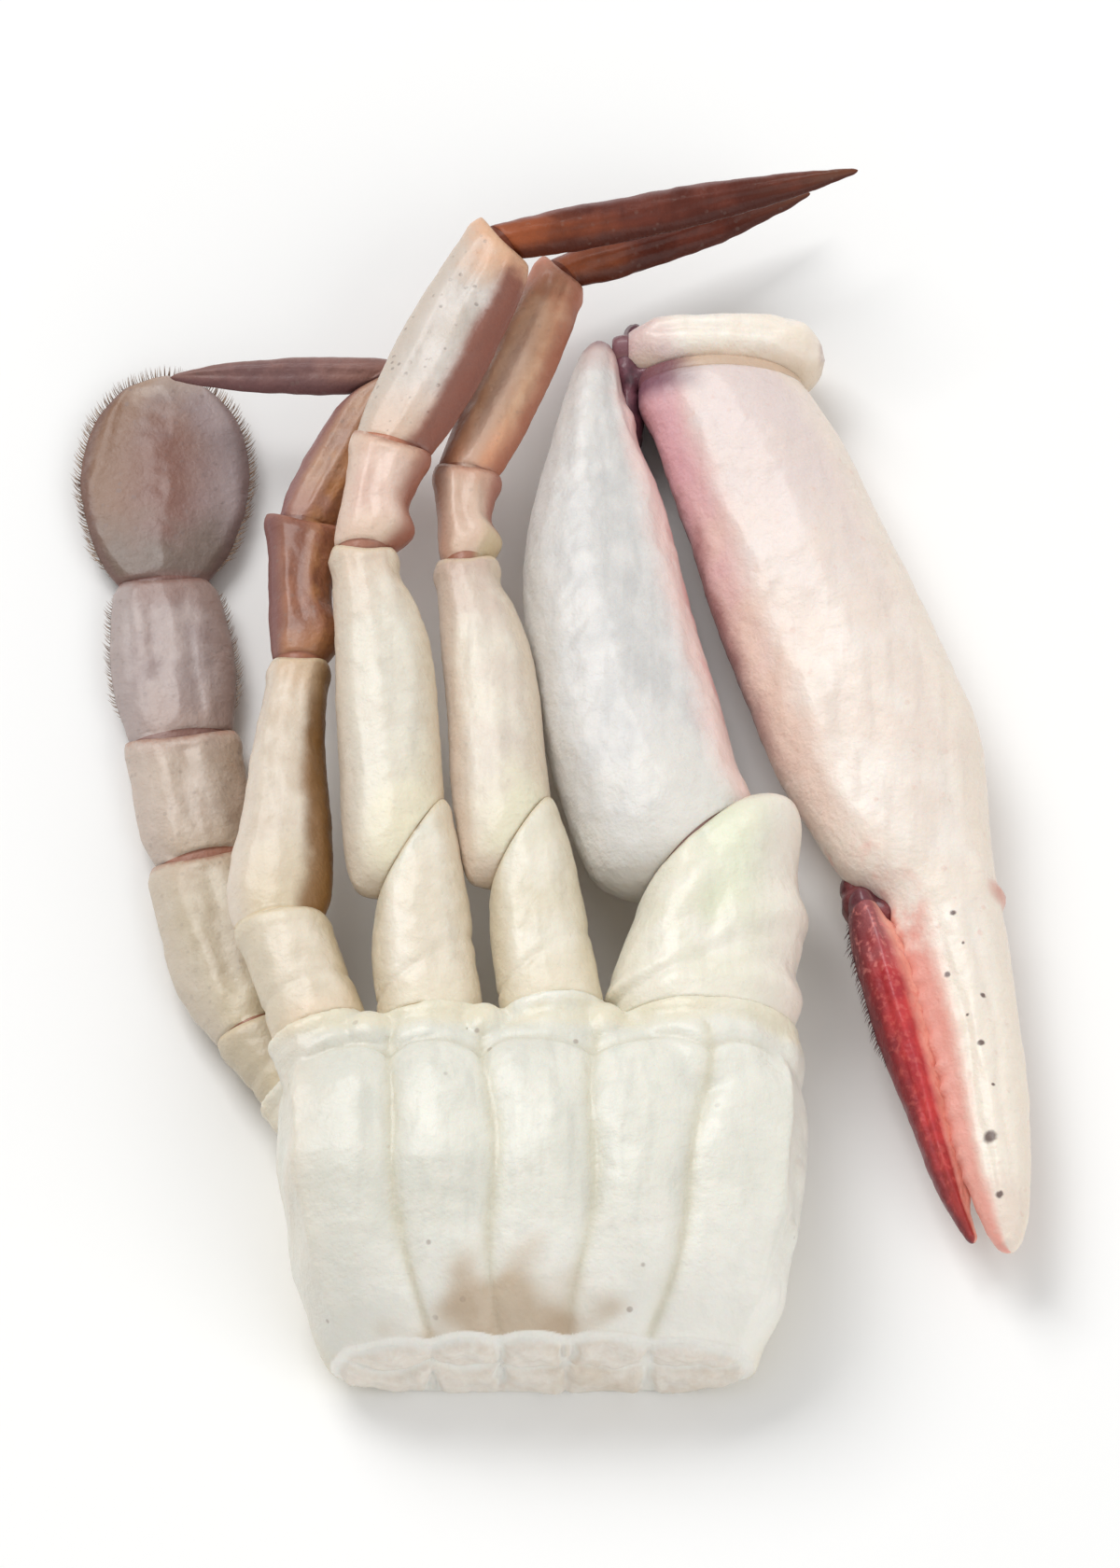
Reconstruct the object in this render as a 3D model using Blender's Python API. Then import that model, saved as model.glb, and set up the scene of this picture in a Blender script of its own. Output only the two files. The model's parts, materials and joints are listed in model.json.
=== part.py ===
"""Half of a raw swimming crab, cut along its middle and lying with its underside up.

The cut face is at the front (-Y), the limbs run to the back (+Y) and the claw is on the
right (+X). The origin is in the middle of the flat that the body rests on. Lengths below
are in millimetres and turn into metres where a mesh is made. A heading is an angle from
straight back (+Y) towards the claw's side (+X), and a pitch is an angle upwards.
"""

import math
from typing import NamedTuple

import bmesh
import bpy
from mathutils import Matrix, Vector

MM = 0.001

# Gap between two pieces that meet, and how finely a limb's pieces are divided
JOINT_GAP = 0.3
SIDES = 14
ROW_LENGTH = 6.0
FEWEST_ROWS = 5

# Body: where the cut and the limbs' side lie, and its outline seen from above
CUT_Y = -19.5
LIMB_SIDE_Y = 19.0
BODY_HALF_WIDTHS = ((0.0, 22.0), (0.12, 24.4), (0.35, 26.8), (0.7, 28.0), (0.9, 26.4), (1.0, 21.5))
BODY_TOPS = ((0.0, 14.0), (0.1, 18.2), (0.28, 22.2), (0.52, 24.0), (0.8, 22.8), (1.0, 18.6))
BODY_FLOORS = ((0.0, 0.0), (0.75, 0.0), (0.9, 0.0), (1.0, 4.0))
BODY_ROWS = 14
BODY_CROWN = 4.0
BODY_SIDE_BULGE = 1.6
BODY_FOOT_INSET = 7.0

# Body plates: five plates with grooves between them, as shares of the body's half width
PLATE_EDGES_AT_LIMBS = (-1.0, -0.64, -0.23, 0.24, 0.70, 1.0)
PLATE_EDGES_AT_CUT = (-1.0, -0.57, -0.20, 0.16, 0.55, 1.0)
PLATE_STEPS = 4
GROOVE_DEPTH = 1.7

# The hip is a stub that starts this far inside the body
HIP_DEPTH = 11.0

# Surface colours, as red, green and blue from 0 to 255, with a roughness
SHELL_COLOURS = {
    "body": ((232, 228, 213), 0.40),
    "ischium": ((230, 222, 198), 0.40),
    "merus": ((235, 226, 206), 0.38),
    "carpus": ((214, 178, 160), 0.40),
    "propodus": ((214, 190, 180), 0.42),
    "dactyl": ((104, 48, 58), 0.45),
    "blade": ((160, 150, 158), 0.42),
    "palm": ((243, 222, 210), 0.38),
    "finger": ((176, 36, 50), 0.35),
}


class Segment(NamedTuple):
    """One hard piece of a limb, and how far the joint at its end is turned from square."""

    name: str
    length: float
    heading: float
    pitch: float
    width: float
    thickness: float
    shape: str
    slant: float = 0.0


class Limb(NamedTuple):
    """Pieces joined end to end from a root, with or without a hip on the body."""

    name: str
    root: tuple
    hip_heading: float
    segments: tuple
    root_slant: float = 0.0


# A shape's stations: share of the length, then the sideways shift to the right, the
# width and the thickness there, each as a share of the piece's own half width and depth
SHAPES = {
    "hip": ((0.0, 0.0, 1.08, 1.05), (1.0, 0.0, 0.98, 0.98)),
    "ischium": ((0.0, 0.0, 0.98, 0.98), (0.45, 0.0, 0.94, 0.98), (0.75, 0.0, 0.90, 1.0), (1.0, 0.0, 0.72, 0.94)),
    "short_ischium": ((0.0, 0.0, 0.98, 0.98), (0.45, 0.0, 0.92, 0.96), (1.0, 0.0, 0.88, 0.98)),
    "merus": (
        (0.0, 0.0, 0.72, 0.94), (0.1, -0.18, 0.93, 1.0), (0.25, -0.17, 0.98, 1.0), (0.43, -0.06, 0.96, 0.98),
        (0.62, 0.02, 0.88, 0.93), (0.8, 0.02, 0.73, 0.85), (0.9, -0.03, 0.60, 0.78), (1.0, 0.0, 0.57, 0.74),
    ),
    "back_merus": (
        (0.0, 0.0, 0.90, 0.96), (0.15, 0.0, 1.0, 1.0), (0.5, -0.06, 0.80, 0.94), (0.8, -0.06, 0.63, 0.82),
        (1.0, 0.0, 0.57, 0.76),
    ),
    "carpus": (
        (0.0, 0.0, 0.66, 0.86), (0.2, 0.12, 0.86, 1.0), (0.45, -0.04, 0.74, 0.92), (0.75, -0.03, 0.84, 0.90),
        (1.0, 0.0, 0.94, 0.84),
    ),
    "propodus": ((0.0, 0.0, 0.84, 0.96), (0.35, 0.0, 1.0, 1.0), (0.8, 0.0, 0.92, 0.9), (1.0, 0.0, 0.72, 0.84)),
    "dactyl": (
        (0.0, 0.0, 0.86, 1.0), (0.2, 0.0, 1.0, 1.0), (0.6, 0.0, 0.86, 0.82),
        (0.9, 0.0, 0.38, 0.42), (1.0, 0.0, 0.10, 0.14),
    ),
    "paddle_carpus": ((0.0, 0.06, 0.86, 0.92), (0.3, 0.02, 1.0, 1.0), (1.0, 0.0, 0.98, 0.86)),
    "paddle_merus": ((0.0, 0.0, 0.62, 0.9), (0.35, 0.0, 1.0, 1.0), (0.8, 0.0, 0.98, 0.9), (1.0, 0.0, 0.84, 0.8)),
    "paddle_blade": (
        (0.0, 0.0, 0.56, 1.0), (0.15, 0.0, 0.80, 1.0), (0.4, 0.0, 0.99, 0.95), (0.6, 0.0, 0.99, 0.85),
        (0.8, 0.0, 0.82, 0.7), (0.93, 0.0, 0.52, 0.5), (1.0, 0.0, 0.24, 0.3),
    ),
    "claw_ischium": (
        (0.0, 0.0, 0.96, 1.0), (0.4, 0.0, 1.0, 1.0), (0.65, 0.05, 0.96, 1.0), (0.85, 0.07, 0.84, 0.95),
        (1.0, 0.0, 0.66, 0.86),
    ),
    "claw_merus": (
        (0.0, 0.0, 0.66, 0.86), (0.05, -0.20, 0.80, 0.94), (0.11, -0.38, 0.90, 1.0), (0.26, -0.48, 0.95, 1.0),
        (0.42, -0.56, 0.94, 1.0), (0.58, -0.57, 0.87, 0.95), (0.69, -0.51, 0.73, 0.88), (0.79, -0.44, 0.54, 0.78),
        (0.9, -0.30, 0.34, 0.62), (0.96, -0.20, 0.24, 0.48), (1.0, -0.14, 0.15, 0.34),
    ),
    "claw_carpus": (
        (0.0, 0.0, 0.60, 0.60), (0.15, 0.0, 0.88, 0.9), (0.5, 0.0, 0.98, 1.0),
        (0.85, 0.04, 0.90, 0.9), (1.0, 0.10, 0.62, 0.66),
    ),
    "claw_palm": (
        (0.0, 0.0, 0.80, 0.78), (0.08, -0.09, 0.87, 0.92), (0.24, -0.20, 0.95, 1.0), (0.40, -0.32, 0.99, 1.0),
        (0.50, -0.33, 0.86, 0.90), (0.565, -0.36, 0.69, 0.78), (0.605, -0.47, 0.51, 0.70),
        (0.70, -0.44, 0.44, 0.60), (0.80, -0.33, 0.39, 0.52), (0.90, -0.19, 0.32, 0.42),
        (0.97, -0.09, 0.20, 0.28), (1.0, -0.05, 0.08, 0.14),
    ),
    "claw_finger": (
        (0.0, -0.05, 0.61, 0.80), (0.15, -0.05, 0.89, 1.0), (0.35, 0.0, 0.92, 0.96), (0.6, 0.08, 0.70, 0.76),
        (0.85, 0.12, 0.45, 0.46), (1.0, -0.03, 0.19, 0.18),
    ),
}

# The claw is folded: its wrist lies across the end of the arm, and its hand comes back
# beside the arm. Its wrist, hand and finger have roots of their own.
LIMBS = (
    Limb("claw", (18.1, 19.6, 13.2), 2.0, (
        Segment("ischium", 22.8, 0.0, 0.0, 20.6, 15.4, "claw_ischium", 38.0),
        Segment("merus", 71.6, -8.3, -4.3, 21.0, 15.6, "claw_merus"),
    )),
    Limb("claw", (9.9, 111.9, 6.9), None, (
        Segment("carpus", 22.6, 90.0, 0.0, 8.6, 13.4, "claw_carpus"),
    )),
    Limb("claw", (20.6, 107.0, 7.6), None, (
        Segment("palm", 117.2, 164.5, 0.0, 24.2, 15.6, "claw_palm"),
    ), -15.5),
    Limb("claw", (36.2, 38.1, 7.2), None, (
        Segment("finger", 43.4, 163.9, -2.0, 6.4, 8.4, "claw_finger"),
    )),
    Limb("leg_front", (1.2, 20.6, 15.4), -4.0, (
        Segment("ischium", 21.9, -9.4, 0.6, 12.0, 9.8, "ischium", 50.0),
        Segment("merus", 38.4, -9.6, -2.6, 12.0, 9.4, "merus"),
        Segment("carpus", 12.6, 1.0, -4.0, 8.4, 7.0, "carpus"),
        Segment("propodus", 30.6, 21.0, -5.0, 8.4, 4.8, "propodus"),
        Segment("dactyl", 31.7, 66.0, -6.0, 5.2, 3.6, "dactyl"),
    )),
    Limb("leg_middle", (-12.5, 19.8, 15.2), -4.0, (
        Segment("ischium", 21.4, -6.2, 3.0, 12.2, 9.8, "ischium", 52.0),
        Segment("merus", 39.1, -8.1, 1.5, 12.8, 9.6, "merus"),
        Segment("carpus", 14.0, 13.4, 3.0, 10.2, 7.6, "carpus"),
        Segment("propodus", 30.0, 25.0, 0.0, 11.0, 4.8, "propodus"),
        Segment("dactyl", 42.4, 75.0, -3.0, 5.8, 3.8, "dactyl"),
    )),
    Limb("leg_back", (-24.8, 18.8, 14.2), -18.0, (
        Segment("ischium", 15.0, -18.7, -1.0, 11.6, 9.0, "short_ischium"),
        Segment("merus", 34.7, 3.3, -2.0, 11.8, 8.6, "back_merus"),
        Segment("carpus", 18.8, 1.5, -2.0, 9.6, 6.6, "carpus"),
        Segment("propodus", 21.3, 25.0, 1.0, 7.6, 4.4, "propodus"),
        Segment("dactyl", 24.7, -87.0, -2.0, 5.0, 3.4, "dactyl"),
    )),
    Limb("paddle", (-27.6, 17.0, 5.2), -40.0, (
        Segment("ischium", 9.0, -35.0, -5.0, 9.6, 7.2, "short_ischium"),
        Segment("merus", 23.6, -14.5, -3.0, 14.0, 7.2, "paddle_merus"),
        Segment("carpus", 16.4, -9.0, -1.0, 13.2, 6.2, "paddle_carpus"),
        Segment("propodus", 21.0, -6.0, -1.0, 14.2, 5.2, "propodus"),
        Segment("blade", 27.8, 0.0, -1.5, 19.2, 3.8, "paddle_blade"),
    )),
)


def interpolate(stations, share):
    """The values at a share of the way, on a smooth curve through the stations."""
    last = len(stations) - 1
    index = 0
    while index < last - 1 and share > stations[index + 1][0]:
        index += 1
    before = stations[max(index - 1, 0)]
    start = stations[index]
    end = stations[index + 1]
    after = stations[min(index + 2, last)]
    span = end[0] - start[0]
    t = (share - start[0]) / span
    values = []
    for column in range(1, len(start)):
        leaving = span * (end[column] - before[column]) / (end[0] - before[0])
        arriving = span * (after[column] - start[column]) / (after[0] - start[0])
        values.append(
            start[column] * (2 * t**3 - 3 * t**2 + 1)
            + leaving * (t**3 - 2 * t**2 + t)
            + end[column] * (3 * t**2 - 2 * t**3)
            + arriving * (t**3 - t**2)
        )
    return values


def direction(heading, pitch):
    """Unit vector along a heading and a pitch."""
    turn = math.radians(heading)
    rise = math.radians(pitch)
    return Vector((math.sin(turn) * math.cos(rise), math.cos(turn) * math.cos(rise), math.sin(rise)))


def turned(normal, degrees):
    """A joint's normal, turned to the left as seen from above."""
    return Matrix.Rotation(math.radians(degrees), 3, "Z") @ normal


def reach_to_plane(offset, axis, normal):
    """How far along the axis a point beside it meets a plane through the axis's start."""
    return -offset.dot(normal) / axis.dot(normal)


def segment_rings(start, segment, start_normal, end_normal):
    """Oval rings of one piece, each end slanted to lie in the plane of its joint."""
    axis = direction(segment.heading, segment.pitch)
    turn = math.radians(segment.heading)
    side = Vector((math.cos(turn), -math.sin(turn), 0.0))
    up = side.cross(axis)
    start_gap = 0.5 * JOINT_GAP / axis.dot(start_normal)
    end_gap = 0.5 * JOINT_GAP / axis.dot(end_normal)
    rows = max(FEWEST_ROWS, round(segment.length / ROW_LENGTH))
    rings = []
    for row in range(rows + 1):
        share = row / rows
        shift, wide, thick = interpolate(SHAPES[segment.shape], share)
        ring = []
        for corner in range(SIDES):
            angle = math.tau * corner / SIDES
            across = 0.5 * segment.width * (shift + wide * math.cos(angle))
            above = 0.5 * segment.thickness * thick * math.sin(angle)
            offset = side * across + up * above
            first = reach_to_plane(offset, axis, start_normal) + start_gap
            last = segment.length + reach_to_plane(offset, axis, end_normal) - end_gap
            point = start + offset + axis * (first + (last - first) * share)
            point.z = max(point.z, 0.0)
            ring.append(point)
        rings.append(ring)
    return rings


def groove_at(step):
    """Share of the groove's depth at a step across a plate, full at the plate's edges."""
    from_edge = min(step, PLATE_STEPS - step) / (0.5 * PLATE_STEPS)
    return (1.0 - from_edge) ** 2


def body_ring(share):
    """Outline of the body at a share of the way from the cut to the limbs."""
    y = CUT_Y + share * (LIMB_SIDE_Y - CUT_Y)
    half_width = interpolate(BODY_HALF_WIDTHS, share)[0]
    top = interpolate(BODY_TOPS, share)[0]
    floor = max(interpolate(BODY_FLOORS, share)[0], 0.0)
    edges = []
    for at_cut, at_limbs in zip(PLATE_EDGES_AT_CUT, PLATE_EDGES_AT_LIMBS):
        edges.append(half_width * (at_cut + share * (at_limbs - at_cut)))
    ring = []
    for plate in range(len(edges) - 1):
        for step in range(PLATE_STEPS):
            x = edges[plate] + (edges[plate + 1] - edges[plate]) * step / PLATE_STEPS
            outermost = plate == 0 and step == 0
            groove = 0.0 if outermost else GROOVE_DEPTH * groove_at(step)
            ring.append(Vector((x, y, top - BODY_CROWN * abs(x / half_width) ** 3 - groove)))
    right = edges[-1]
    foot = right - BODY_FOOT_INSET
    shoulder = top - BODY_CROWN
    side = (
        (right, shoulder), (right + 0.8 * BODY_SIDE_BULGE, floor + 0.72 * (shoulder - floor)),
        (right + BODY_SIDE_BULGE, floor + 0.45 * (shoulder - floor)),
        (right - 1.0, floor + 0.16 * (shoulder - floor)), (foot, floor),
    )
    ring += [Vector((x, y, z)) for x, z in side]
    ring += [Vector((foot * across, y, floor)) for across in (0.6, 0.2, -0.2, -0.6)]
    ring += [Vector((-x, y, z)) for x, z in reversed(side[1:])]
    return ring


def add_loft(name, rings):
    """Closed object through a row of rings, with a flat face at each end."""
    mesh = bmesh.new()
    rows = [[mesh.verts.new(point * MM) for point in ring] for ring in rings]
    for lower, upper in zip(rows, rows[1:]):
        for index, corner in enumerate(lower):
            neighbour = (index + 1) % len(lower)
            mesh.faces.new((corner, lower[neighbour], upper[neighbour], upper[index]))
    mesh.faces.new(reversed(rows[0]))
    mesh.faces.new(rows[-1])
    bmesh.ops.recalc_face_normals(mesh, faces=mesh.faces)
    data = bpy.data.meshes.new(name)
    mesh.to_mesh(data)
    mesh.free()
    piece = bpy.data.objects.new(name, data)
    bpy.context.scene.collection.objects.link(piece)
    return piece


def linear(channel):
    """Linear value of a colour channel given from 0 to 255."""
    value = channel / 255
    if value <= 0.04045:
        return value / 12.92
    return ((value + 0.055) / 1.055) ** 2.4


def add_shell_material(piece, kind):
    """Principled material of one kind of shell, made once and then shared."""
    colour, roughness = SHELL_COLOURS[kind]
    material = bpy.data.materials.get(kind)
    if material is None:
        material = bpy.data.materials.new(kind)
        material.use_nodes = True
        shader = material.node_tree.nodes["Principled BSDF"]
        shader.inputs["Base Color"].default_value = (*[linear(channel) for channel in colour], 1.0)
        shader.inputs["Roughness"].default_value = roughness
        shader.inputs["Metallic"].default_value = 0.0
    piece.data.materials.clear()
    piece.data.materials.append(material)
    piece.data.shade_smooth()
    piece.data.set_sharp_from_angle(angle=math.radians(55))


def add_limb(limb):
    """The pieces of a limb, joined end to end."""
    axes = [direction(segment.heading, segment.pitch) for segment in limb.segments]
    before_first = axes[0]
    if limb.hip_heading is not None:
        before_first = direction(limb.hip_heading, 0.0)
    start = Vector(limb.root)
    start_normal = turned((before_first + axes[0]).normalized(), limb.root_slant)
    for segment, axis, next_axis in zip(limb.segments, axes, axes[1:] + axes[-1:]):
        end_normal = turned((axis + next_axis).normalized(), segment.slant)
        piece = add_loft(f"{limb.name}_{segment.name}", segment_rings(start, segment, start_normal, end_normal))
        add_shell_material(piece, segment.name)
        start = start + axis * segment.length
        start_normal = end_normal


def add_hip(limb):
    """Stub that carries a limb, from inside the body to the limb's first joint."""
    first = limb.segments[0]
    hip_axis = direction(limb.hip_heading, 0.0)
    hip = Segment("hip", HIP_DEPTH, limb.hip_heading, 0.0, first.width, first.thickness, "hip")
    joint_normal = (hip_axis + direction(first.heading, first.pitch)).normalized()
    start = Vector(limb.root) - hip_axis * HIP_DEPTH
    return add_loft(f"{limb.name}_hip", segment_rings(start, hip, hip_axis, joint_normal))


def add_body():
    """Body with its five hips, as one closed solid."""
    body = add_loft("body_half", [body_ring(row / BODY_ROWS) for row in range(BODY_ROWS + 1)])
    hips = bpy.data.collections.new("hips")
    for limb in LIMBS:
        if limb.hip_heading is not None:
            hip = add_hip(limb)
            bpy.context.scene.collection.objects.unlink(hip)
            hips.objects.link(hip)
    bpy.context.scene.collection.children.link(hips)
    union = body.modifiers.new("hips", "BOOLEAN")
    union.operation = "UNION"
    union.solver = "EXACT"
    union.operand_type = "COLLECTION"
    union.collection = hips
    bpy.context.view_layer.update()
    joined = bpy.data.meshes.new_from_object(body.evaluated_get(bpy.context.evaluated_depsgraph_get()))
    body.modifiers.clear()
    body.data = joined
    for hip in list(hips.objects):
        bpy.data.objects.remove(hip)
    bpy.data.collections.remove(hips)
    add_shell_material(body, "body")


for leftover in list(bpy.data.objects):
    bpy.data.objects.remove(leftover)
add_body()
for limb in LIMBS:
    add_limb(limb)
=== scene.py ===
# %% [markdown]
# A raw swimming crab half
#
# A swimming crab is sold raw as two halves, broken or sawn along the middle of its body. One half
# lies here with its underside up: the ivory plates of the breast, three walking legs with dark
# tips, a swimming leg that ends in a flat paddle, and a claw folded back beside its own arm.
#
# The fixed frame holds one plain solid for each hard piece. Each is replaced here by a finer
# mesh of the same form, with rims at the joints, ridges, teeth, bristles and a wet shell finish.

import json
import math
from typing import NamedTuple

import bpy
import numpy as np
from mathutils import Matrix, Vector

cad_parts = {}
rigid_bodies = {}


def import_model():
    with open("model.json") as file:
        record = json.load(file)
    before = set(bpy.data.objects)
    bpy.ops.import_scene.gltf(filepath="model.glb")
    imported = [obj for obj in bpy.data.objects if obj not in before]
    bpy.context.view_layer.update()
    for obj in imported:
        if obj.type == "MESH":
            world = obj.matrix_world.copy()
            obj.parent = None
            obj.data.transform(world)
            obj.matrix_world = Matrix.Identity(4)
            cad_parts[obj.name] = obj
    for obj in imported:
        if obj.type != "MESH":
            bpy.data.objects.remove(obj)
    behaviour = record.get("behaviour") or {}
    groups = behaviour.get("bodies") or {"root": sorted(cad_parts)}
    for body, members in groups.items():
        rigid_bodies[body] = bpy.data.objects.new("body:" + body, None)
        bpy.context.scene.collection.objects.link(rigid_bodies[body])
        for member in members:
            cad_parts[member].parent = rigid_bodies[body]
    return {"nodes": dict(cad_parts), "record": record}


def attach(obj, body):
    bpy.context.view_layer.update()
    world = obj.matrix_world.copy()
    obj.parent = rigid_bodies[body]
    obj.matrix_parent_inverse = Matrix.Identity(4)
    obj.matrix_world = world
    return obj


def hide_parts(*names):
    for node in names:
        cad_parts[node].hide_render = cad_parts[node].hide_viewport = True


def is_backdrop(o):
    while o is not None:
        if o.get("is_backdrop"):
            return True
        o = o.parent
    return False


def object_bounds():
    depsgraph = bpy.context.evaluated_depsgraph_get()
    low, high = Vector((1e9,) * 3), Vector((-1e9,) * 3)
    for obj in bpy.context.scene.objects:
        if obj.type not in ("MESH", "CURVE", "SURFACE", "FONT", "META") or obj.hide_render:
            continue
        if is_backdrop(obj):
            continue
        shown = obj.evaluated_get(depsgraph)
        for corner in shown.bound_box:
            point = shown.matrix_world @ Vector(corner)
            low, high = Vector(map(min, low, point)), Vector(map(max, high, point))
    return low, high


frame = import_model()
CAD_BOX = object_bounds()
MM = 0.001
print("frame nodes:", len(frame["nodes"]))

# %% [markdown]
# Working in millimetres
#
# A leg tip is four millimetres wide, so every shape below is worked out in millimetres, as rows
# of points in a numpy array, and turned into metres when its mesh is made. Whole arrays are
# bent, swollen and grooved at once, which is quick enough for a quarter of a million points.

# %% Small helpers for smooth change


def ease(low, high, value):
    """0 below low, 1 above high, and a smooth change between them."""
    t = np.clip((value - low) / (high - low), 0.0, 1.0)
    return t * t * (3.0 - 2.0 * t)


def hump(value, middle, width):
    """A smooth hump of height 1 round the middle."""
    return np.exp(-(((value - middle) / width) ** 2))


def lumps(points, size, seed):
    """Gentle unevenness from -1 to 1: waves that run every way, about one size apart."""
    draw = np.random.default_rng(seed)
    total = np.zeros(points.shape[:-1])
    waves = 14
    for _ in range(waves):
        way = draw.normal(size=3)
        way *= math.tau / size * draw.uniform(0.6, 1.5) / np.linalg.norm(way)
        total += np.sin(points @ way + draw.uniform(0.0, math.tau))
    return total / math.sqrt(2.0 * waves)


print("ease halfway:", ease(0, 1, 0.5), "hump at its middle:", hump(0, 0, 1))

# %% [markdown]
# The limbs' measures
#
# A crab's limb is a chain of stiff tubes. For each tube the frame has a length, a heading, a
# pitch, a width and a depth, and the same values serve here. Each kind of tube also has a
# shape: how its middle line shifts and how its width and depth change along it. A heading is
# an angle from straight back (+Y) towards the claw's side (+X).

# %% Measures of every limb


class Segment(NamedTuple):
    """One hard piece of a limb, in millimetres and degrees, and the slant of the joint at its end."""

    name: str
    length: float
    heading: float
    pitch: float
    width: float
    thickness: float
    shape: str
    slant: float = 0.0


class Limb(NamedTuple):
    """Pieces joined end to end from a root, with or without a hip on the body."""

    name: str
    root: tuple
    hip_heading: float
    segments: tuple
    root_slant: float = 0.0


# Stations: share of the length, then shift to the right, width and depth as shares of the half sizes
SHAPES = {
    "hip": ((0.0, 0.0, 1.08, 1.05), (1.0, 0.0, 0.98, 0.98)),
    "ischium": (
        (0.0, 0.0, 0.98, 0.98), (0.45, 0.0, 0.94, 0.98), (0.75, 0.0, 0.90, 1.0), (1.0, 0.0, 0.72, 0.94),
    ),
    "short_ischium": ((0.0, 0.0, 0.98, 0.98), (0.45, 0.0, 0.92, 0.96), (1.0, 0.0, 0.88, 0.98)),
    "merus": (
        (0.0, 0.0, 0.72, 0.94), (0.1, -0.18, 0.93, 1.0), (0.25, -0.17, 0.98, 1.0), (0.43, -0.06, 0.96, 0.98),
        (0.62, 0.02, 0.88, 0.93), (0.8, 0.02, 0.73, 0.85), (0.9, -0.03, 0.60, 0.78), (1.0, 0.0, 0.57, 0.74),
    ),
    "back_merus": (
        (0.0, 0.0, 0.90, 0.96), (0.15, 0.0, 1.0, 1.0), (0.5, -0.06, 0.80, 0.94), (0.8, -0.06, 0.63, 0.82),
        (1.0, 0.0, 0.57, 0.76),
    ),
    "carpus": (
        (0.0, 0.0, 0.66, 0.86), (0.2, 0.12, 0.86, 1.0), (0.45, -0.04, 0.74, 0.92), (0.75, -0.03, 0.84, 0.90),
        (1.0, 0.0, 0.94, 0.84),
    ),
    "propodus": (
        (0.0, 0.0, 0.84, 0.96), (0.35, 0.0, 1.0, 1.0), (0.8, 0.0, 0.92, 0.9), (1.0, 0.0, 0.72, 0.84),
    ),
    "dactyl": (
        (0.0, 0.0, 0.86, 1.0), (0.2, 0.0, 1.0, 1.0), (0.6, 0.0, 0.86, 0.82),
        (0.9, 0.0, 0.38, 0.42), (1.0, 0.0, 0.10, 0.14),
    ),
    "paddle_carpus": ((0.0, 0.06, 0.86, 0.92), (0.3, 0.02, 1.0, 1.0), (1.0, 0.0, 0.98, 0.86)),
    "paddle_merus": (
        (0.0, 0.0, 0.62, 0.9), (0.35, 0.0, 1.0, 1.0), (0.8, 0.0, 0.98, 0.9), (1.0, 0.0, 0.84, 0.8),
    ),
    "paddle_blade": (
        (0.0, 0.0, 0.56, 1.0), (0.15, 0.0, 0.80, 1.0), (0.4, 0.0, 0.99, 0.95), (0.6, 0.0, 0.99, 0.85),
        (0.8, 0.0, 0.82, 0.7), (0.93, 0.0, 0.52, 0.5), (1.0, 0.0, 0.24, 0.3),
    ),
    "claw_ischium": (
        (0.0, 0.0, 0.96, 1.0), (0.4, 0.0, 1.0, 1.0), (0.65, 0.05, 0.96, 1.0), (0.85, 0.07, 0.84, 0.95),
        (1.0, 0.0, 0.66, 0.86),
    ),
    "claw_merus": (
        (0.0, 0.0, 0.66, 0.86), (0.05, -0.20, 0.80, 0.94), (0.11, -0.38, 0.90, 1.0),
        (0.26, -0.48, 0.95, 1.0), (0.42, -0.56, 0.94, 1.0), (0.58, -0.57, 0.87, 0.95),
        (0.69, -0.51, 0.73, 0.88), (0.79, -0.44, 0.54, 0.78), (0.9, -0.30, 0.34, 0.62),
        (0.96, -0.20, 0.24, 0.48), (1.0, -0.14, 0.15, 0.34),
    ),
    "claw_carpus": (
        (0.0, 0.0, 0.60, 0.60), (0.15, 0.0, 0.88, 0.9), (0.5, 0.0, 0.98, 1.0),
        (0.85, 0.04, 0.90, 0.9), (1.0, 0.10, 0.62, 0.66),
    ),
    "claw_palm": (
        (0.0, 0.0, 0.80, 0.78), (0.08, -0.09, 0.87, 0.92), (0.24, -0.20, 0.95, 1.0), (0.40, -0.32, 0.99, 1.0),
        (0.50, -0.33, 0.86, 0.90), (0.565, -0.36, 0.69, 0.78), (0.605, -0.47, 0.51, 0.70),
        (0.70, -0.44, 0.44, 0.60), (0.80, -0.33, 0.39, 0.52), (0.90, -0.19, 0.32, 0.42),
        (0.97, -0.09, 0.20, 0.28), (1.0, -0.05, 0.08, 0.14),
    ),
    "claw_finger": (
        (0.0, -0.05, 0.61, 0.80), (0.15, -0.05, 0.89, 1.0), (0.35, 0.0, 0.92, 0.96), (0.6, 0.08, 0.70, 0.76),
        (0.85, 0.12, 0.45, 0.46), (1.0, -0.03, 0.19, 0.18),
    ),
}

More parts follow.
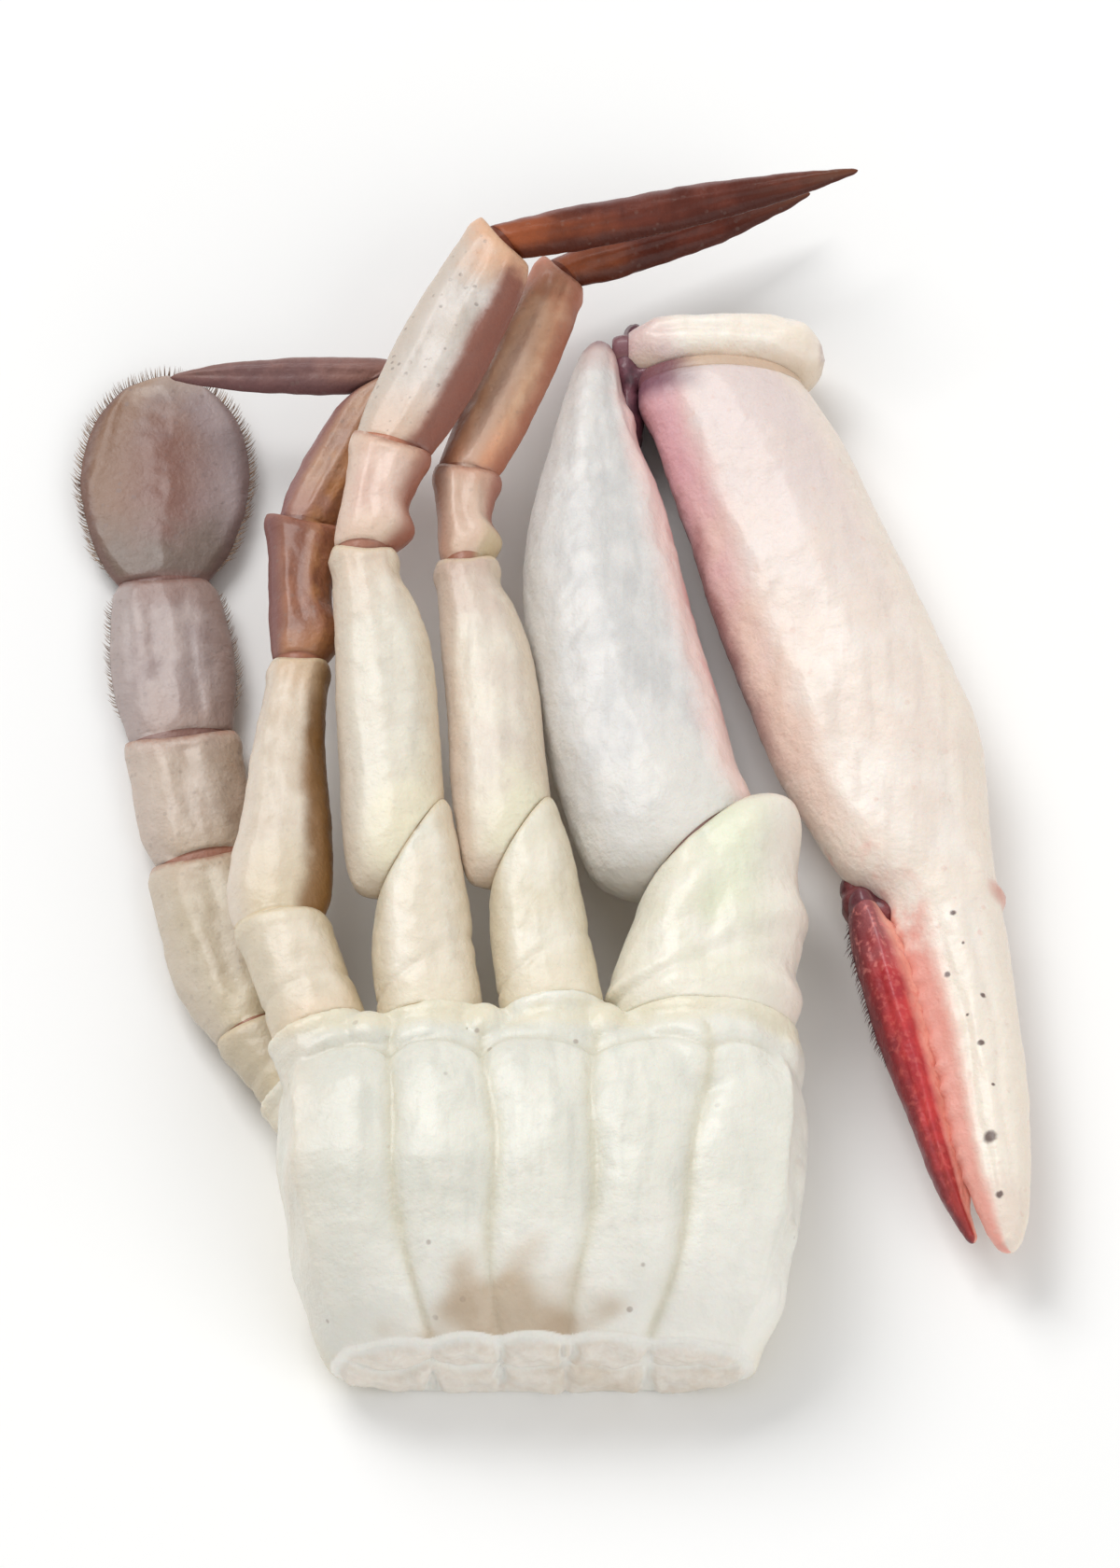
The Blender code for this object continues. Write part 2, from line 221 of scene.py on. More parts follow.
# The claw is folded: its wrist lies across the end of the arm, and its hand comes back
# beside the arm. Its wrist, hand and finger have roots of their own.
LIMBS = (
    Limb("claw", (18.1, 19.6, 13.2), 2.0, (
        Segment("ischium", 22.8, 0.0, 0.0, 20.6, 15.4, "claw_ischium", 38.0),
        Segment("merus", 71.6, -8.3, -4.3, 21.0, 15.6, "claw_merus"),
    )),
    Limb("claw", (9.9, 111.9, 6.9), None, (
        Segment("carpus", 22.6, 90.0, 0.0, 8.6, 13.4, "claw_carpus"),
    )),
    Limb("claw", (20.6, 107.0, 7.6), None, (
        Segment("palm", 117.2, 164.5, 0.0, 24.2, 15.6, "claw_palm"),
    ), -15.5),
    Limb("claw", (36.2, 38.1, 7.2), None, (
        Segment("finger", 43.4, 163.9, -2.0, 6.4, 8.4, "claw_finger"),
    )),
    Limb("leg_front", (1.2, 20.6, 15.4), -4.0, (
        Segment("ischium", 21.9, -9.4, 0.6, 12.0, 9.8, "ischium", 50.0),
        Segment("merus", 38.4, -9.6, -2.6, 12.0, 9.4, "merus"),
        Segment("carpus", 12.6, 1.0, -4.0, 8.4, 7.0, "carpus"),
        Segment("propodus", 30.6, 21.0, -5.0, 8.4, 4.8, "propodus"),
        Segment("dactyl", 31.7, 66.0, -6.0, 5.2, 3.6, "dactyl"),
    )),
    Limb("leg_middle", (-12.5, 19.8, 15.2), -4.0, (
        Segment("ischium", 21.4, -6.2, 3.0, 12.2, 9.8, "ischium", 52.0),
        Segment("merus", 39.1, -8.1, 1.5, 12.8, 9.6, "merus"),
        Segment("carpus", 14.0, 13.4, 3.0, 10.2, 7.6, "carpus"),
        Segment("propodus", 30.0, 25.0, 0.0, 11.0, 4.8, "propodus"),
        Segment("dactyl", 42.4, 75.0, -3.0, 5.8, 3.8, "dactyl"),
    )),
    Limb("leg_back", (-24.8, 18.8, 14.2), -18.0, (
        Segment("ischium", 15.0, -18.7, -1.0, 11.6, 9.0, "short_ischium"),
        Segment("merus", 34.7, 3.3, -2.0, 11.8, 8.6, "back_merus"),
        Segment("carpus", 18.8, 1.5, -2.0, 9.6, 6.6, "carpus"),
        Segment("propodus", 21.3, 25.0, 1.0, 7.6, 4.4, "propodus"),
        Segment("dactyl", 24.7, -87.0, -2.0, 5.0, 3.4, "dactyl"),
    )),
    Limb("paddle", (-27.6, 17.0, 5.2), -40.0, (
        Segment("ischium", 9.0, -35.0, -5.0, 9.6, 7.2, "short_ischium"),
        Segment("merus", 23.6, -14.5, -3.0, 14.0, 7.2, "paddle_merus"),
        Segment("carpus", 16.4, -9.0, -1.0, 13.2, 6.2, "paddle_carpus"),
        Segment("propodus", 21.0, -6.0, -1.0, 14.2, 5.2, "propodus"),
        Segment("blade", 27.8, 0.0, -1.5, 19.2, 3.8, "paddle_blade"),
    )),
)
print("hard pieces in the limbs:", sum(len(limb.segments) for limb in LIMBS))

# %% [markdown]
# From a grid of points to a mesh
#
# Each tube is a grid: rows along it and points round each row. A subdivision surface would round
# every ridge away, and a sculpt can't be repeated, so the grid is made as fine as the detail,
# about half a millimetre. Beside each point go named numbers, such as how far along the piece it
# lies, which the finishes read to lay their colours.

# %% Meshes with named numbers at their points


def add_mesh(name, points, faces, numbers):
    """Mesh object from points in millimetres, with one attribute for each named array."""
    data = bpy.data.meshes.new(name)
    data.from_pydata((points * MM).tolist(), [], faces)
    for key, values in numbers.items():
        attribute = data.attributes.new(key, "FLOAT", "POINT")
        attribute.data.foreach_set("value", np.ascontiguousarray(values, np.float32).ravel())
    data.shade_smooth()
    piece = bpy.data.objects.new(name, data)
    bpy.context.scene.collection.objects.link(piece)
    return piece


def grid_faces(rows, columns):
    """Faces of a closed tube of rows, with a point at each end after the grid's own points."""
    corner = np.arange(rows * columns).reshape(rows, columns)
    following = np.roll(corner, -1, axis=1)
    quads = np.stack([corner[:-1], following[:-1], following[1:], corner[1:]], axis=-1).reshape(-1, 4)
    first = rows * columns
    start = [(first, int(b), int(a)) for a, b in zip(corner[0], following[0])]
    end = [(first + 1, int(a), int(b)) for a, b in zip(corner[-1], following[-1])]
    return quads.tolist() + start + end


def close_grid(values):
    """A grid of numbers or points as one list, with the mean of each end row added."""
    flat = values.reshape(-1, *values.shape[2:])
    return np.concatenate([flat, values[:1].mean(axis=1), values[-1:].mean(axis=1)])


print("faces of a tube of 3 rows of 8:", len(grid_faces(3, 8)))

# %% [markdown]
# How one limb piece is shaped
#
# Seen close, a crab's joint has a rolled rim on the near piece, and the next piece comes out of it
# on a narrower neck. So each tube starts with a neck set back inside its neighbour and ends with
# a rim that turns in. Two neighbours meet in one slanted plane, halfway between their headings,
# as a mitred pipe does. Ridges and grooves run lengthwise: each has a place across the piece from
# -1 (left) to 1 (right), a height, a width and the stretch of the length that it covers.

# %% Curves through stations, directions and joint planes


def interpolate(stations, share):
    """The values at a share of the way, on a smooth curve through the stations."""
    last = len(stations) - 1
    index = 0
    while index < last - 1 and share > stations[index + 1][0]:
        index += 1
    before = stations[max(index - 1, 0)]
    start = stations[index]
    end = stations[index + 1]
    after = stations[min(index + 2, last)]
    span = end[0] - start[0]
    t = (share - start[0]) / span
    values = []
    for column in range(1, len(start)):
        leaving = span * (end[column] - before[column]) / (end[0] - before[0])
        arriving = span * (after[column] - start[column]) / (after[0] - start[0])
        values.append(
            start[column] * (2 * t**3 - 3 * t**2 + 1)
            + leaving * (t**3 - 2 * t**2 + t)
            + end[column] * (3 * t**2 - 2 * t**3)
            + arriving * (t**3 - t**2)
        )
    return values


def direction(heading, pitch):
    """Unit vector along a heading and a pitch."""
    turn = math.radians(heading)
    rise = math.radians(pitch)
    return np.array((math.sin(turn) * math.cos(rise), math.cos(turn) * math.cos(rise), math.sin(rise)))


def unit(vector):
    """The vector at length 1."""
    return vector / np.linalg.norm(vector)


def turned(normal, degrees):
    """A joint's normal, turned to the left as seen from above."""
    cos, sin = math.cos(math.radians(degrees)), math.sin(math.radians(degrees))
    return np.array((normal[0] * cos - normal[1] * sin, normal[0] * sin + normal[1] * cos, normal[2]))


halfway = interpolate(SHAPES["merus"], 0.5)
print("shift, width and depth halfway along a merus:", [round(value, 2) for value in halfway])

# %% Ridges and grooves of each kind of piece


class Ridge(NamedTuple):
    """A lengthwise ridge, or a groove where its height is negative."""

    across: float
    height: float
    width: float
    start: float
    end: float


RIDGES = {
    "ischium": (
        Ridge(-0.62, 0.20, 0.16, 0.1, 1.0), Ridge(0.50, 0.22, 0.18, 0.1, 1.0),
    ),
    "merus": (
        Ridge(-0.66, 0.22, 0.12, 0.05, 1.0), Ridge(0.50, 0.20, 0.14, 0.2, 1.0),
        Ridge(0.05, -0.12, 0.26, 0.5, 1.0),
    ),
    "carpus": (
        Ridge(-0.50, 0.24, 0.15, 0.0, 1.0), Ridge(0.42, 0.26, 0.15, 0.0, 1.0),
        Ridge(-0.05, -0.22, 0.22, 0.15, 0.9),
    ),
    "propodus": (
        Ridge(-0.60, 0.16, 0.11, 0.02, 1.0), Ridge(0.10, 0.14, 0.16, 0.02, 0.9),
        Ridge(0.56, 0.24, 0.10, 0.02, 1.0), Ridge(-0.28, -0.14, 0.14, 0.05, 0.95),
        Ridge(0.36, -0.16, 0.10, 0.05, 0.95),
    ),
    "dactyl": (
        Ridge(0.12, 0.20, 0.16, 0.0, 0.96), Ridge(-0.36, -0.17, 0.14, 0.04, 0.92),
        Ridge(0.52, -0.17, 0.13, 0.04, 0.92),
    ),
    "paddle_merus": (
        Ridge(0.35, 0.28, 0.16, 0.05, 1.0), Ridge(-0.5, 0.22, 0.14, 0.1, 1.0),
        Ridge(-0.1, -0.2, 0.2, 0.1, 0.95),
    ),
    "paddle_blade": (
        Ridge(0.05, 0.10, 0.16, 0.0, 0.55), Ridge(-0.86, 0.2, 0.08, 0.0, 1.0),
        Ridge(0.86, 0.2, 0.08, 0.0, 1.0),
    ),
    "claw_ischium": (
        Ridge(-0.4, 0.35, 0.18, 0.0, 1.0), Ridge(0.5, 0.45, 0.18, 0.0, 1.0),
        Ridge(0.05, -0.35, 0.18, 0.1, 1.0),
    ),
    "claw_merus": (
        Ridge(0.74, 0.40, 0.10, 0.02, 0.96), Ridge(-0.72, 0.22, 0.12, 0.1, 0.9),
        Ridge(0.3, -0.22, 0.3, 0.2, 0.9),
    ),
    "claw_carpus": (
        Ridge(0.42, 0.30, 0.24, 0.08, 0.84), Ridge(-0.55, 0.34, 0.22, 0.08, 0.8),
        Ridge(-0.06, -0.5, 0.17, 0.1, 0.8),
    ),
    "claw_palm": (
        Ridge(0.60, 0.36, 0.13, 0.0, 0.60), Ridge(0.84, -0.26, 0.10, 0.03, 0.52),
        Ridge(-0.20, 0.16, 0.20, 0.02, 0.52), Ridge(-0.78, 0.26, 0.10, 0.02, 0.6),
        Ridge(0.24, -0.14, 0.20, 0.04, 0.55), Ridge(-0.5, -0.10, 0.16, 0.06, 0.52),
        Ridge(0.36, -0.22, 0.12, 0.62, 0.97), Ridge(-0.36, -0.20, 0.12, 0.60, 0.97),
        Ridge(0.0, 0.18, 0.16, 0.62, 0.98),
    ),
    "claw_finger": (
        Ridge(0.05, 0.26, 0.18, 0.0, 0.98), Ridge(0.50, -0.22, 0.13, 0.02, 0.96),
        Ridge(-0.42, -0.20, 0.13, 0.02, 0.96),
    ),
}
for same, other in (
    ("hip", "ischium"), ("short_ischium", "ischium"), ("back_merus", "merus"), ("paddle_carpus", "carpus"),
):
    RIDGES[same] = RIDGES[other]
print("lengthwise ridges and grooves:", sum(len(ridges) for ridges in RIDGES.values()))

# %% Rings, bumps, teeth, bends, rims and tips of each kind of piece
# How far a ridge strays to either side, as a share of the half width
RIDGE_WANDER = 0.07

# A ring is a shallow groove round the piece: share of the length, slant, depth and width in mm
RINGS = {
    "hip": (0.80, -0.05, 0.30, 0.6),
    "ischium": (0.26, 0.07, 0.24, 0.6),
    "short_ischium": (0.34, 0.05, 0.24, 0.6),
    "claw_ischium": (0.24, 0.12, 0.45, 0.9),
}

# Bumps: place from the piece's start in mm, across, height, length and width
BUMPS = {
    "claw_palm": ((72.0, -1.0, 0.7, 1.1, 0.20), (70.0, -0.7, 0.5, 2.2, 0.14), (3.0, 0.9, 0.7, 2.2, 0.2)),
    "claw_ischium": (
        (9.0, 1.0, 1.7, 2.8, 0.5), (19.0, 0.8, 1.6, 3.4, 0.45), (2.5, 0.9, 1.2, 1.6, 0.5),
        (5.0, -0.9, 0.9, 2.4, 0.35), (15.0, -0.1, 0.9, 3.0, 0.35),
    ),
    "claw_merus": ((4.0, -0.8, 0.5, 3.0, 0.3), (60.0, 0.95, 0.5, 1.4, 0.2)),
}

# Teeth along a cutting edge: side that they are on, first and last share, and height in mm
TEETH = {"claw_palm": (1.0, 0.60, 0.97, 1.1), "claw_finger": (-1.0, 0.04, 0.94, 0.95)}
TOOTH_SPACING = 2.9

# Sideways and upward bend of a piece's tip, in mm
BENDS = {"dactyl": (-1.1, -0.4), "paddle_blade": (0.0, 0.7)}

# How far the middle of a rim draws back between its two corners, in mm
SCALLOPS = {
    "ischium": 0.8, "short_ischium": 0.7, "merus": 1.5, "back_merus": 1.3, "carpus": 1.1, "propodus": 0.9,
    "paddle_merus": 1.3, "paddle_carpus": 1.2, "claw_ischium": 1.0,
}

# How far the outline across a piece is from a plain ellipse (1) towards a lens with sharp edges
EDGE_SHARPNESS = {
    "propodus": 1.16, "dactyl": 1.16, "paddle_merus": 1.14, "paddle_carpus": 1.14, "paddle_blade": 1.2,
    "claw_finger": 1.12, "merus": 1.1, "back_merus": 1.1,
}

# Pieces that end in a tip, not in a joint, and over how many mm each tip is rounded
TIPS = {
    "dactyl": 0.8, "paddle_blade": 2.0, "claw_palm": 1.2, "claw_finger": 0.9, "claw_merus": 2.4,
    "claw_carpus": 2.6,
}
print("kinds of piece with teeth:", len(TEETH), "and with a tip:", len(TIPS))

# %% The rows along a piece: its neck, its length and its rim or tip
SPACING = 0.5

# Rows of a neck and of a rim: place in mm from the joint, and how far the row is set in
NECK = ((-1.9, 9.0), (-1.9, 2.6), (-1.7, 1.8), (-1.2, 1.3), (-0.7, 1.0), (-0.3, 0.9), (-0.02, 0.75))
RIM = ((0.0, 0.7), (-0.15, 0.85), (-0.6, 0.95), (-1.3, 1.05), (-1.6, 1.6), (-1.7, 9.0))
HIP_END = ((0.0, 0.5), (0.0, 3.0), (0.0, 9.0))
RIM_LENGTH = 1.4

# How much of that inset a plain joint has, and how much a slanted joint or a hip's has
JOINT_DEPTH = 0.62
SOFT_JOINT = 0.4


def rows_along(segment, start_depth, end_depth):
    """Place of each row in mm, how far it is set in, and whether it is part of the neck or the rim."""
    length = segment.length
    count = max(20, round(length / SPACING))
    places = np.linspace(0.0, length, count)
    tip_length = TIPS.get(segment.shape)
    if tip_length:
        closing = length - tip_length * np.cos(np.linspace(0.0, 0.5 * math.pi, 12))
        places = np.concatenate([places[places < length - tip_length - 0.1], closing])
    inset = 0.6 * start_depth * np.exp(-places / 0.7)
    neck = np.array(NECK) * (1.0, start_depth)
    rim = np.empty((0, 2))
    if not tip_length:
        inset += end_depth * 0.35 * ease(length - 0.55, length, places)
        inset -= end_depth * 0.26 * hump(places, length - RIM_LENGTH, 1.0)
        rim = np.array(HIP_END if segment.shape == "hip" else RIM) * (1.0, end_depth) + (length, 0.0)
    rows = np.concatenate([neck, np.stack([places, inset], axis=1), rim])
    part_of_row = np.concatenate([-np.ones(len(neck)), np.zeros(len(places)), np.ones(len(rim))])
    return rows[:, 0], rows[:, 1], part_of_row


print("rows along a merus:", len(rows_along(LIMBS[4].segments[1], JOINT_DEPTH, JOINT_DEPTH)[0]))

# %% Ridges, rings, bumps and teeth as heights over a piece


def relief_on(segment, share, place, across, above):
    """Height of the relief over a whole piece in mm, from arrays of places on it."""
    relief = np.zeros(np.broadcast(share, across).shape)
    face = np.abs(above) ** 0.5
    for ridge in RIDGES[segment.shape]:
        stretch = ease(ridge.start - 0.02, ridge.start + 0.08, share)
        stretch = stretch * ease(ridge.end + 0.02, ridge.end - 0.08, share)
        wander = RIDGE_WANDER * np.sin(0.33 * place + 9.0 * ridge.across)
        relief += ridge.height * stretch * hump(across + wander, ridge.across, ridge.width) * face
    if segment.shape in RINGS:
        ring_share, slant, depth, width = RINGS[segment.shape]
        relief -= depth * hump(place, segment.length * (ring_share + slant * across), width)
    for middle, side, height, length, width in BUMPS.get(segment.shape, ()):
        relief += height * hump(place, middle, length) * hump(across, side, width)
    if segment.shape in TEETH:
        tooth_side, first_tooth, last_tooth, height = TEETH[segment.shape]
        wave = 0.5 + 0.5 * np.cos(place * math.tau / TOOTH_SPACING + np.sin(0.6 * place))
        wave = wave * (0.7 + 0.3 * np.cos(place * 1.7))
        reach = ease(first_tooth, first_tooth + 0.04, share) * ease(last_tooth, last_tooth - 0.1, share)
        relief += height * (0.5 + 0.5 * wave) * reach * hump(across, tooth_side, 0.12)
    if segment.shape in SCALLOPS:
        knob = 0.1 if segment.slant else 0.2
        relief += knob * hump(place, segment.length - 1.7, 1.2) * hump(np.abs(across), 1.0, 0.22)
    return relief


arm = LIMBS[0].segments[1]
arm_relief = relief_on(arm, np.array([[0.5]]), np.array([[0.5 * arm.length]]), np.linspace(-1, 1, 200), 1.0)
print("highest relief halfway along the arm, in mm:", round(float(arm_relief.max()), 2))

# %% The sizes of a piece's rows, and where its ends meet their joints
THINNEST = 0.02


def axes_of(segment):
    """Unit vectors along a piece, to its right and up from it."""
    axis = direction(segment.heading, segment.pitch)
    turn = math.radians(segment.heading)
    side = np.array((math.cos(turn), -math.sin(turn), 0.0))
    return axis, side, np.cross(side, axis)


def row_sizes(segment, places, insets, share):
    """Shift to the right, half width and half depth of every row, in mm."""
    half_width = 0.5 * segment.width
    half_depth = 0.5 * segment.thickness
    stations = np.array([interpolate(SHAPES[segment.shape], step) for step in share[:, 0]])
    step = min(max(0.12 * min(half_width, half_depth) + 0.15, 0.25), 0.8)
    wide = half_width * stations[:, 1:2] - insets[:, None] * step
    deep = half_depth * stations[:, 2:3] - insets[:, None] * step
    if segment.shape in TIPS:
        tip_length = TIPS[segment.shape]
        into_tip = np.clip((places - segment.length + tip_length) / tip_length, 0.0, 1.0)[:, None]
        closing = np.sqrt(1.0 - into_tip**2)
        wide = wide * closing
        deep = deep * closing
    return half_width * stations[:, :1], np.maximum(wide, THINNEST), np.maximum(deep, THINNEST)


def between_joints(segment, places, parts_of_rows, share, across, above, ends):
    """Place of every point along the piece, so that it starts and ends in its joints' planes."""
    length = segment.length
    first, last = ends
    in_rim = parts_of_rows == 1.0
    lengthwise = first + (last - first) * share + np.minimum(places[:, None], 0.0)
    lengthwise = np.where(in_rim[:, None], last + places[:, None] - length, lengthwise)
    if segment.shape in SCALLOPS:
        near_end = np.where(in_rim, 1.0, ease(length - 4.0, length, places))[:, None]
        drawn_back = SCALLOPS[segment.shape] * (0.4 if segment.slant else 1.0)
        lengthwise = lengthwise - drawn_back * (1.0 - across**2) * (0.7 + 0.3 * above) * near_end
    return lengthwise


def roughen(grid, shell, size, seed):
    """Moves the shell's points a little outwards and inwards, and keeps them above the floor."""
    outward = grid - grid.mean(axis=1, keepdims=True)
    outward /= np.maximum(np.linalg.norm(outward, axis=2, keepdims=True), 1e-6)
    uneven = 0.036 * size * lumps(grid, 2.4 * size + 3.0, seed) + 0.06 * lumps(grid, 3.2, seed + 1)
    uneven += 0.03 * lumps(grid, 1.5, seed + 2)
    grid += outward * (shell * uneven)[..., None]
    grid[..., 2] = np.maximum(grid[..., 2], 0.0)


print("axes of the arm:", [axis.round(2).tolist() for axis in axes_of(arm)])

# %% One piece as a grid of points, with the numbers that its finish reads
COLUMN_LIMITS = (48, 150)
USUAL_SHARPNESS = 1.06


def shape_piece(start, segment, start_normal, end_normal, seed, start_depth=JOINT_DEPTH):
    """Grid of points of one limb piece, and the numbers that its finish reads."""
    axis, side, up = axes_of(segment)
    length = segment.length
    half_width = 0.5 * segment.width
    half_depth = 0.5 * segment.thickness
    girth = 4.4 * (half_width + half_depth)
    fewest, most = COLUMN_LIMITS
    columns = int(min(max(girth / SPACING, fewest), most)) // 2 * 2
    angle = np.arange(columns) * math.tau / columns
    across = np.cos(angle)[None, :]
    above = np.sin(angle)[None, :]
    sharpness = EDGE_SHARPNESS.get(segment.shape, USUAL_SHARPNESS)
    out_right = np.sign(across) * np.abs(across) ** sharpness
    out_up = np.sign(above) * np.abs(above) ** sharpness
    end_depth = SOFT_JOINT if segment.slant or segment.shape == "hip" else JOINT_DEPTH
    places, insets, parts_of_rows = rows_along(segment, start_depth, end_depth)
    place = places[:, None]
    share = np.clip(places / length, 0.0, 1.0)[:, None]
    shift, wide, deep = row_sizes(segment, places, insets, share)
    shell = (parts_of_rows == 0.0)[:, None]
    relief = relief_on(segment, share, place, across, above)
    relief = relief * shell * np.clip(1.0 - 1.2 * insets[:, None], 0.0, 1.0)
    relief = relief * np.minimum(deep / (0.5 * half_depth), 1.0)
    out_across = across / np.maximum(wide, 0.3)
    out_above = above / np.maximum(deep, 0.3)
    out_length = np.hypot(out_across, out_above)
    bend_across, bend_up = BENDS.get(segment.shape, (0.0, 0.0))
    across_mm = shift + wide * out_right + relief * out_across / out_length
    across_mm = across_mm + bend_across * (share**2 - 0.6 * share)
    above_mm = deep * out_up + relief * out_above / out_length + bend_up * share**2
    offset = across_mm[..., None] * side + above_mm[..., None] * up
    first = -(offset @ start_normal) / (axis @ start_normal)
    last = length - (offset @ end_normal) / (axis @ end_normal)
    lengthwise = between_joints(segment, places, parts_of_rows, share, across, above, (first, last))
    grid = start + offset + lengthwise[..., None] * axis
    roughen(grid, shell, min(half_width, half_depth), seed)
    notch = 0.0
    if segment.shape == "claw_palm":
        notch_place, notch_side, *_ = BUMPS["claw_palm"][0]
        notch = hump(place, notch_place, 2.2) * hump(across, notch_side, 0.3) * ease(-0.7, 0.1, above)
    flat = np.zeros(grid.shape[:2])
    numbers = {
        "along": flat + share, "across": flat + across, "above": flat + above,
        "edge": flat + np.abs(across), "notch": flat + notch, "sunk": flat + 1.0 - shell,
        "to_start": flat + share * length, "to_end": flat + (1.0 - share) * length,
    }
    return grid, numbers


STRAIGHT_BACK = np.array((0.0, 1.0, 0.0))
merus_grid, _ = shape_piece(np.zeros(3), LIMBS[4].segments[1], STRAIGHT_BACK, STRAIGHT_BACK, 1)
print("merus grid:", merus_grid.shape)

# %% [markdown]
# Making the limbs
#
# The claw, three walking legs and the swimming leg are chains of such pieces. Posing copies of one
# straight tube along a chain of parents would leave a wedge open at every bend. So the chain is
# walked from the hip outwards instead, and at each joint the plane between two headings is found
# first, so that both neighbours are made to end in it.

# %% Every limb piece as a mesh
PIECES = {}
GRIDS = {}


def add_limb(limb, seed):
    """The pieces of a limb, joined end to end, each in place of its plain solid."""
    axes = [direction(segment.heading, segment.pitch) for segment in limb.segments]
    before_first = axes[0] if limb.hip_heading is None else direction(limb.hip_heading, 0.0)
    start = np.array(limb.root, float)
    start_normal = turned(unit(before_first + axes[0]), limb.root_slant)
    start_depth = JOINT_DEPTH if limb.hip_heading is None else SOFT_JOINT
    for order, (segment, axis, next_axis) in enumerate(zip(limb.segments, axes, axes[1:] + axes[-1:])):
        end_normal = turned(unit(axis + next_axis), segment.slant)
        grid, numbers = shape_piece(start, segment, start_normal, end_normal, seed + 10 * order, start_depth)
        name = f"{limb.name}_{segment.name}"
        closed = {key: close_grid(values) for key, values in numbers.items()}
        piece = add_mesh(f"{name}_shell", close_grid(grid), grid_faces(*grid.shape[:2]), closed)
        PIECES[name] = piece
        GRIDS[name] = (grid, numbers)
        start = start + axis * segment.length
        start_normal = end_normal
        start_depth = SOFT_JOINT if segment.slant else JOINT_DEPTH


for number, limb in enumerate(LIMBS):
    add_limb(limb, 100 * number)
print("limb pieces:", len(PIECES), "faces:", sum(len(piece.data.polygons) for piece in PIECES.values()))

# %% [markdown]
# The body
#
# The half of the body is a box of thin shell full of meat. Its underside is five plates that
# narrow towards the cut, each slightly pillowed, with a valley between neighbours. The hips stand
# out of its far side. A subdivision cage could hold the plates but not the hips that grow out of
# them, so closed shapes that overlap are made first: the box, the hips, and the pads between
# them. A voxel remesh then melts them into one skin, as wet shell and its joint skin are.

# %% The body's measures
CUT_Y = -19.5
LIMB_SIDE_Y = 19.0

# Share of the way from the cut to the limbs, then the half width, top or floor there in mm
BODY_HALF_WIDTHS = ((0.0, 22.0), (0.12, 24.4), (0.35, 26.8), (0.7, 28.0), (0.9, 26.4), (1.0, 21.5))
BODY_TOPS = ((0.0, 14.0), (0.1, 18.2), (0.28, 22.2), (0.52, 24.0), (0.8, 22.8), (1.0, 18.6))
BODY_FLOORS = ((0.0, 0.0), (0.75, 0.0), (0.9, 0.0), (1.0, 4.0))
BODY_CROWN = 4.0
FLOOR_INSET = 7.0

# Edges of the five plates, as shares of the half width
PLATE_EDGES_AT_LIMBS = np.array((-1.0, -0.64, -0.23, 0.24, 0.70, 1.0))
PLATE_EDGES_AT_CUT = np.array((-1.0, -0.57, -0.20, 0.16, 0.55, 1.0))
VALLEY_DEPTH = 1.5
SEAM_WANDER = 0.8
HIP_DEPTH = 11.0
HIP_MARGIN = 1.1
VOXEL = 0.4


def place_in_plates(x, share, half_width):
    """For points across the body: place in their plate from -1 to 1, and distance from its edge."""
    x = x + SEAM_WANDER * np.sin(8.5 * share + 0.13 * x + 1.0) * (1.0 - (x / half_width) ** 2)
    edges = PLATE_EDGES_AT_CUT + share[..., None] * (PLATE_EDGES_AT_LIMBS - PLATE_EDGES_AT_CUT)
    edges = edges * half_width[..., None]
    below = np.clip((x[..., None] >= edges).sum(axis=-1) - 1, 0, len(PLATE_EDGES_AT_CUT) - 2)
    left = np.take_along_axis(edges, below[..., None], axis=-1)[..., 0]
    right = np.take_along_axis(edges, below[..., None] + 1, axis=-1)[..., 0]
    place = 2.0 * (x - left) / (right - left) - 1.0
    inner_edges = np.minimum(np.where(below == 0, 99.0, x - left), np.where(below == 4, 99.0, right - x))
    return place, np.abs(inner_edges)


def body_section(share, top_points=120, side_points=26):
    """Outline of the body across its width at one share of the way from the cut."""
    half_width = interpolate(BODY_HALF_WIDTHS, share)[0]
    top = interpolate(BODY_TOPS, share)[0]
    floor = max(interpolate(BODY_FLOORS, share)[0], 0.0)
    x = np.linspace(-half_width, half_width, top_points)
    place, _ = place_in_plates(x, np.full_like(x, share), np.full_like(x, half_width))
    outermost = np.abs(x) > 0.999 * half_width
    valley = np.where(outermost, 0.0, VALLEY_DEPTH * np.abs(place) ** 2.2)
    valley *= 1.0 - ease(0.8, 1.0, np.abs(x) / half_width)
    z = top - BODY_CROWN * np.abs(x / half_width) ** 3 - valley
    shoulder = top - BODY_CROWN
    side = (
        (0.0, half_width, shoulder),
        (0.25, half_width + 1.3, floor + 0.72 * (shoulder - floor)),
        (0.5, half_width + 1.6, floor + 0.45 * (shoulder - floor)),
        (0.8, half_width - 1.0, floor + 0.16 * (shoulder - floor)),
        (1.0, half_width - FLOOR_INSET, floor),
    )
    right = np.array([interpolate(side, step) for step in np.linspace(0.0, 1.0, side_points)])
    left = right[::-1] * (-1.0, 1.0)
    under_x = np.linspace(half_width - FLOOR_INSET, FLOOR_INSET - half_width, 30)
    under = np.stack([under_x, np.full_like(under_x, floor)], axis=1)
    return np.concatenate([np.stack([x, z], axis=1)[:-1], right[:-1], under[:-1], left[:-1]])


print("points round the body:", len(body_section(0.5)))

# %% Closed shapes that make up the body


